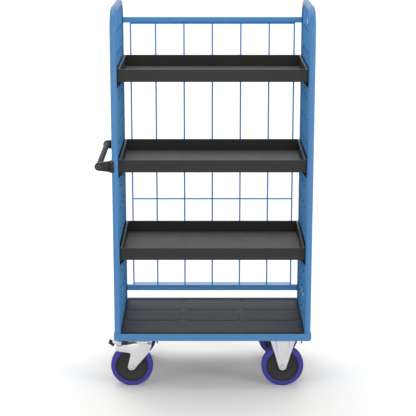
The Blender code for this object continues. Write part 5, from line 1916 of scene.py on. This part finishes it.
class TROLLEY_OT_swivel_heads(Operator):
    """Build the forks, bearings and plates of the swivel casters"""

    bl_idname = "trolley.swivel_heads"
    bl_label = "Add Swivel Heads"

    def execute(self, context):
        make_swivel_heads(context.scene.trolley_sizes)
        return {"FINISHED"}


class TROLLEY_OT_brakes(Operator):
    """Build the wheel brakes"""

    bl_idname = "trolley.brakes"
    bl_label = "Add Brakes"

    def execute(self, context):
        make_brakes()
        return {"FINISHED"}


class TROLLEY_OT_stage(Operator):
    """Set up the floor, the light and the camera"""

    bl_idname = "trolley.stage"
    bl_label = "Set Stage"

    def execute(self, context):
        make_stage(context.scene.trolley_stage)
        return {"FINISHED"}


OPERATORS = (
    TROLLEY_OT_finishes,
    TROLLEY_OT_arches,
    TROLLEY_OT_end_sheets,
    TROLLEY_OT_deck_frame,
    TROLLEY_OT_deck,
    TROLLEY_OT_back_wall,
    TROLLEY_OT_trays,
    TROLLEY_OT_brackets,
    TROLLEY_OT_handle,
    TROLLEY_OT_wheels,
    TROLLEY_OT_fixed_brackets,
    TROLLEY_OT_swivel_heads,
    TROLLEY_OT_brakes,
    TROLLEY_OT_stage,
)


class TROLLEY_PT_pieces(Panel):
    """Lists the steps that build the trolley, with their sizes, colours and lights."""

    bl_idname = "TROLLEY_PT_pieces"
    bl_label = "Shelf Trolley"
    bl_space_type = "VIEW_3D"
    bl_region_type = "UI"
    bl_category = "Trolley"

    def draw(self, context):
        for operator in OPERATORS:
            self.layout.operator(operator.bl_idname)
        for word in SETTINGS:
            group = getattr(context.scene, word)
            box = self.layout.box()
            for value in group.bl_rna.properties:
                if value.identifier not in ("name", "rna_type"):
                    box.prop(group, value.identifier)


SETTINGS = {"trolley_sizes": TrolleySizes, "trolley_colours": TrolleyColours, "trolley_stage": TrolleyStage}


def register():
    """Register the settings, the steps and the panel."""
    for word, group in SETTINGS.items():
        bpy.utils.register_class(group)
        setattr(bpy.types.Scene, word, PointerProperty(type=group))
    for cls in (*OPERATORS, TROLLEY_PT_pieces):
        bpy.utils.register_class(cls)


def unregister():
    """Take the panel, the steps and the settings out again."""
    for cls in (TROLLEY_PT_pieces, *reversed(OPERATORS)):
        bpy.utils.unregister_class(cls)
    for word, group in SETTINGS.items():
        delattr(bpy.types.Scene, word)
        bpy.utils.unregister_class(group)


def main():
    """Register the add-on and run every step in order."""
    register()
    for operator in OPERATORS:
        group, step = operator.bl_idname.split(".")
        getattr(getattr(bpy.ops, group), step)()


if __name__ == "__main__":
    main()
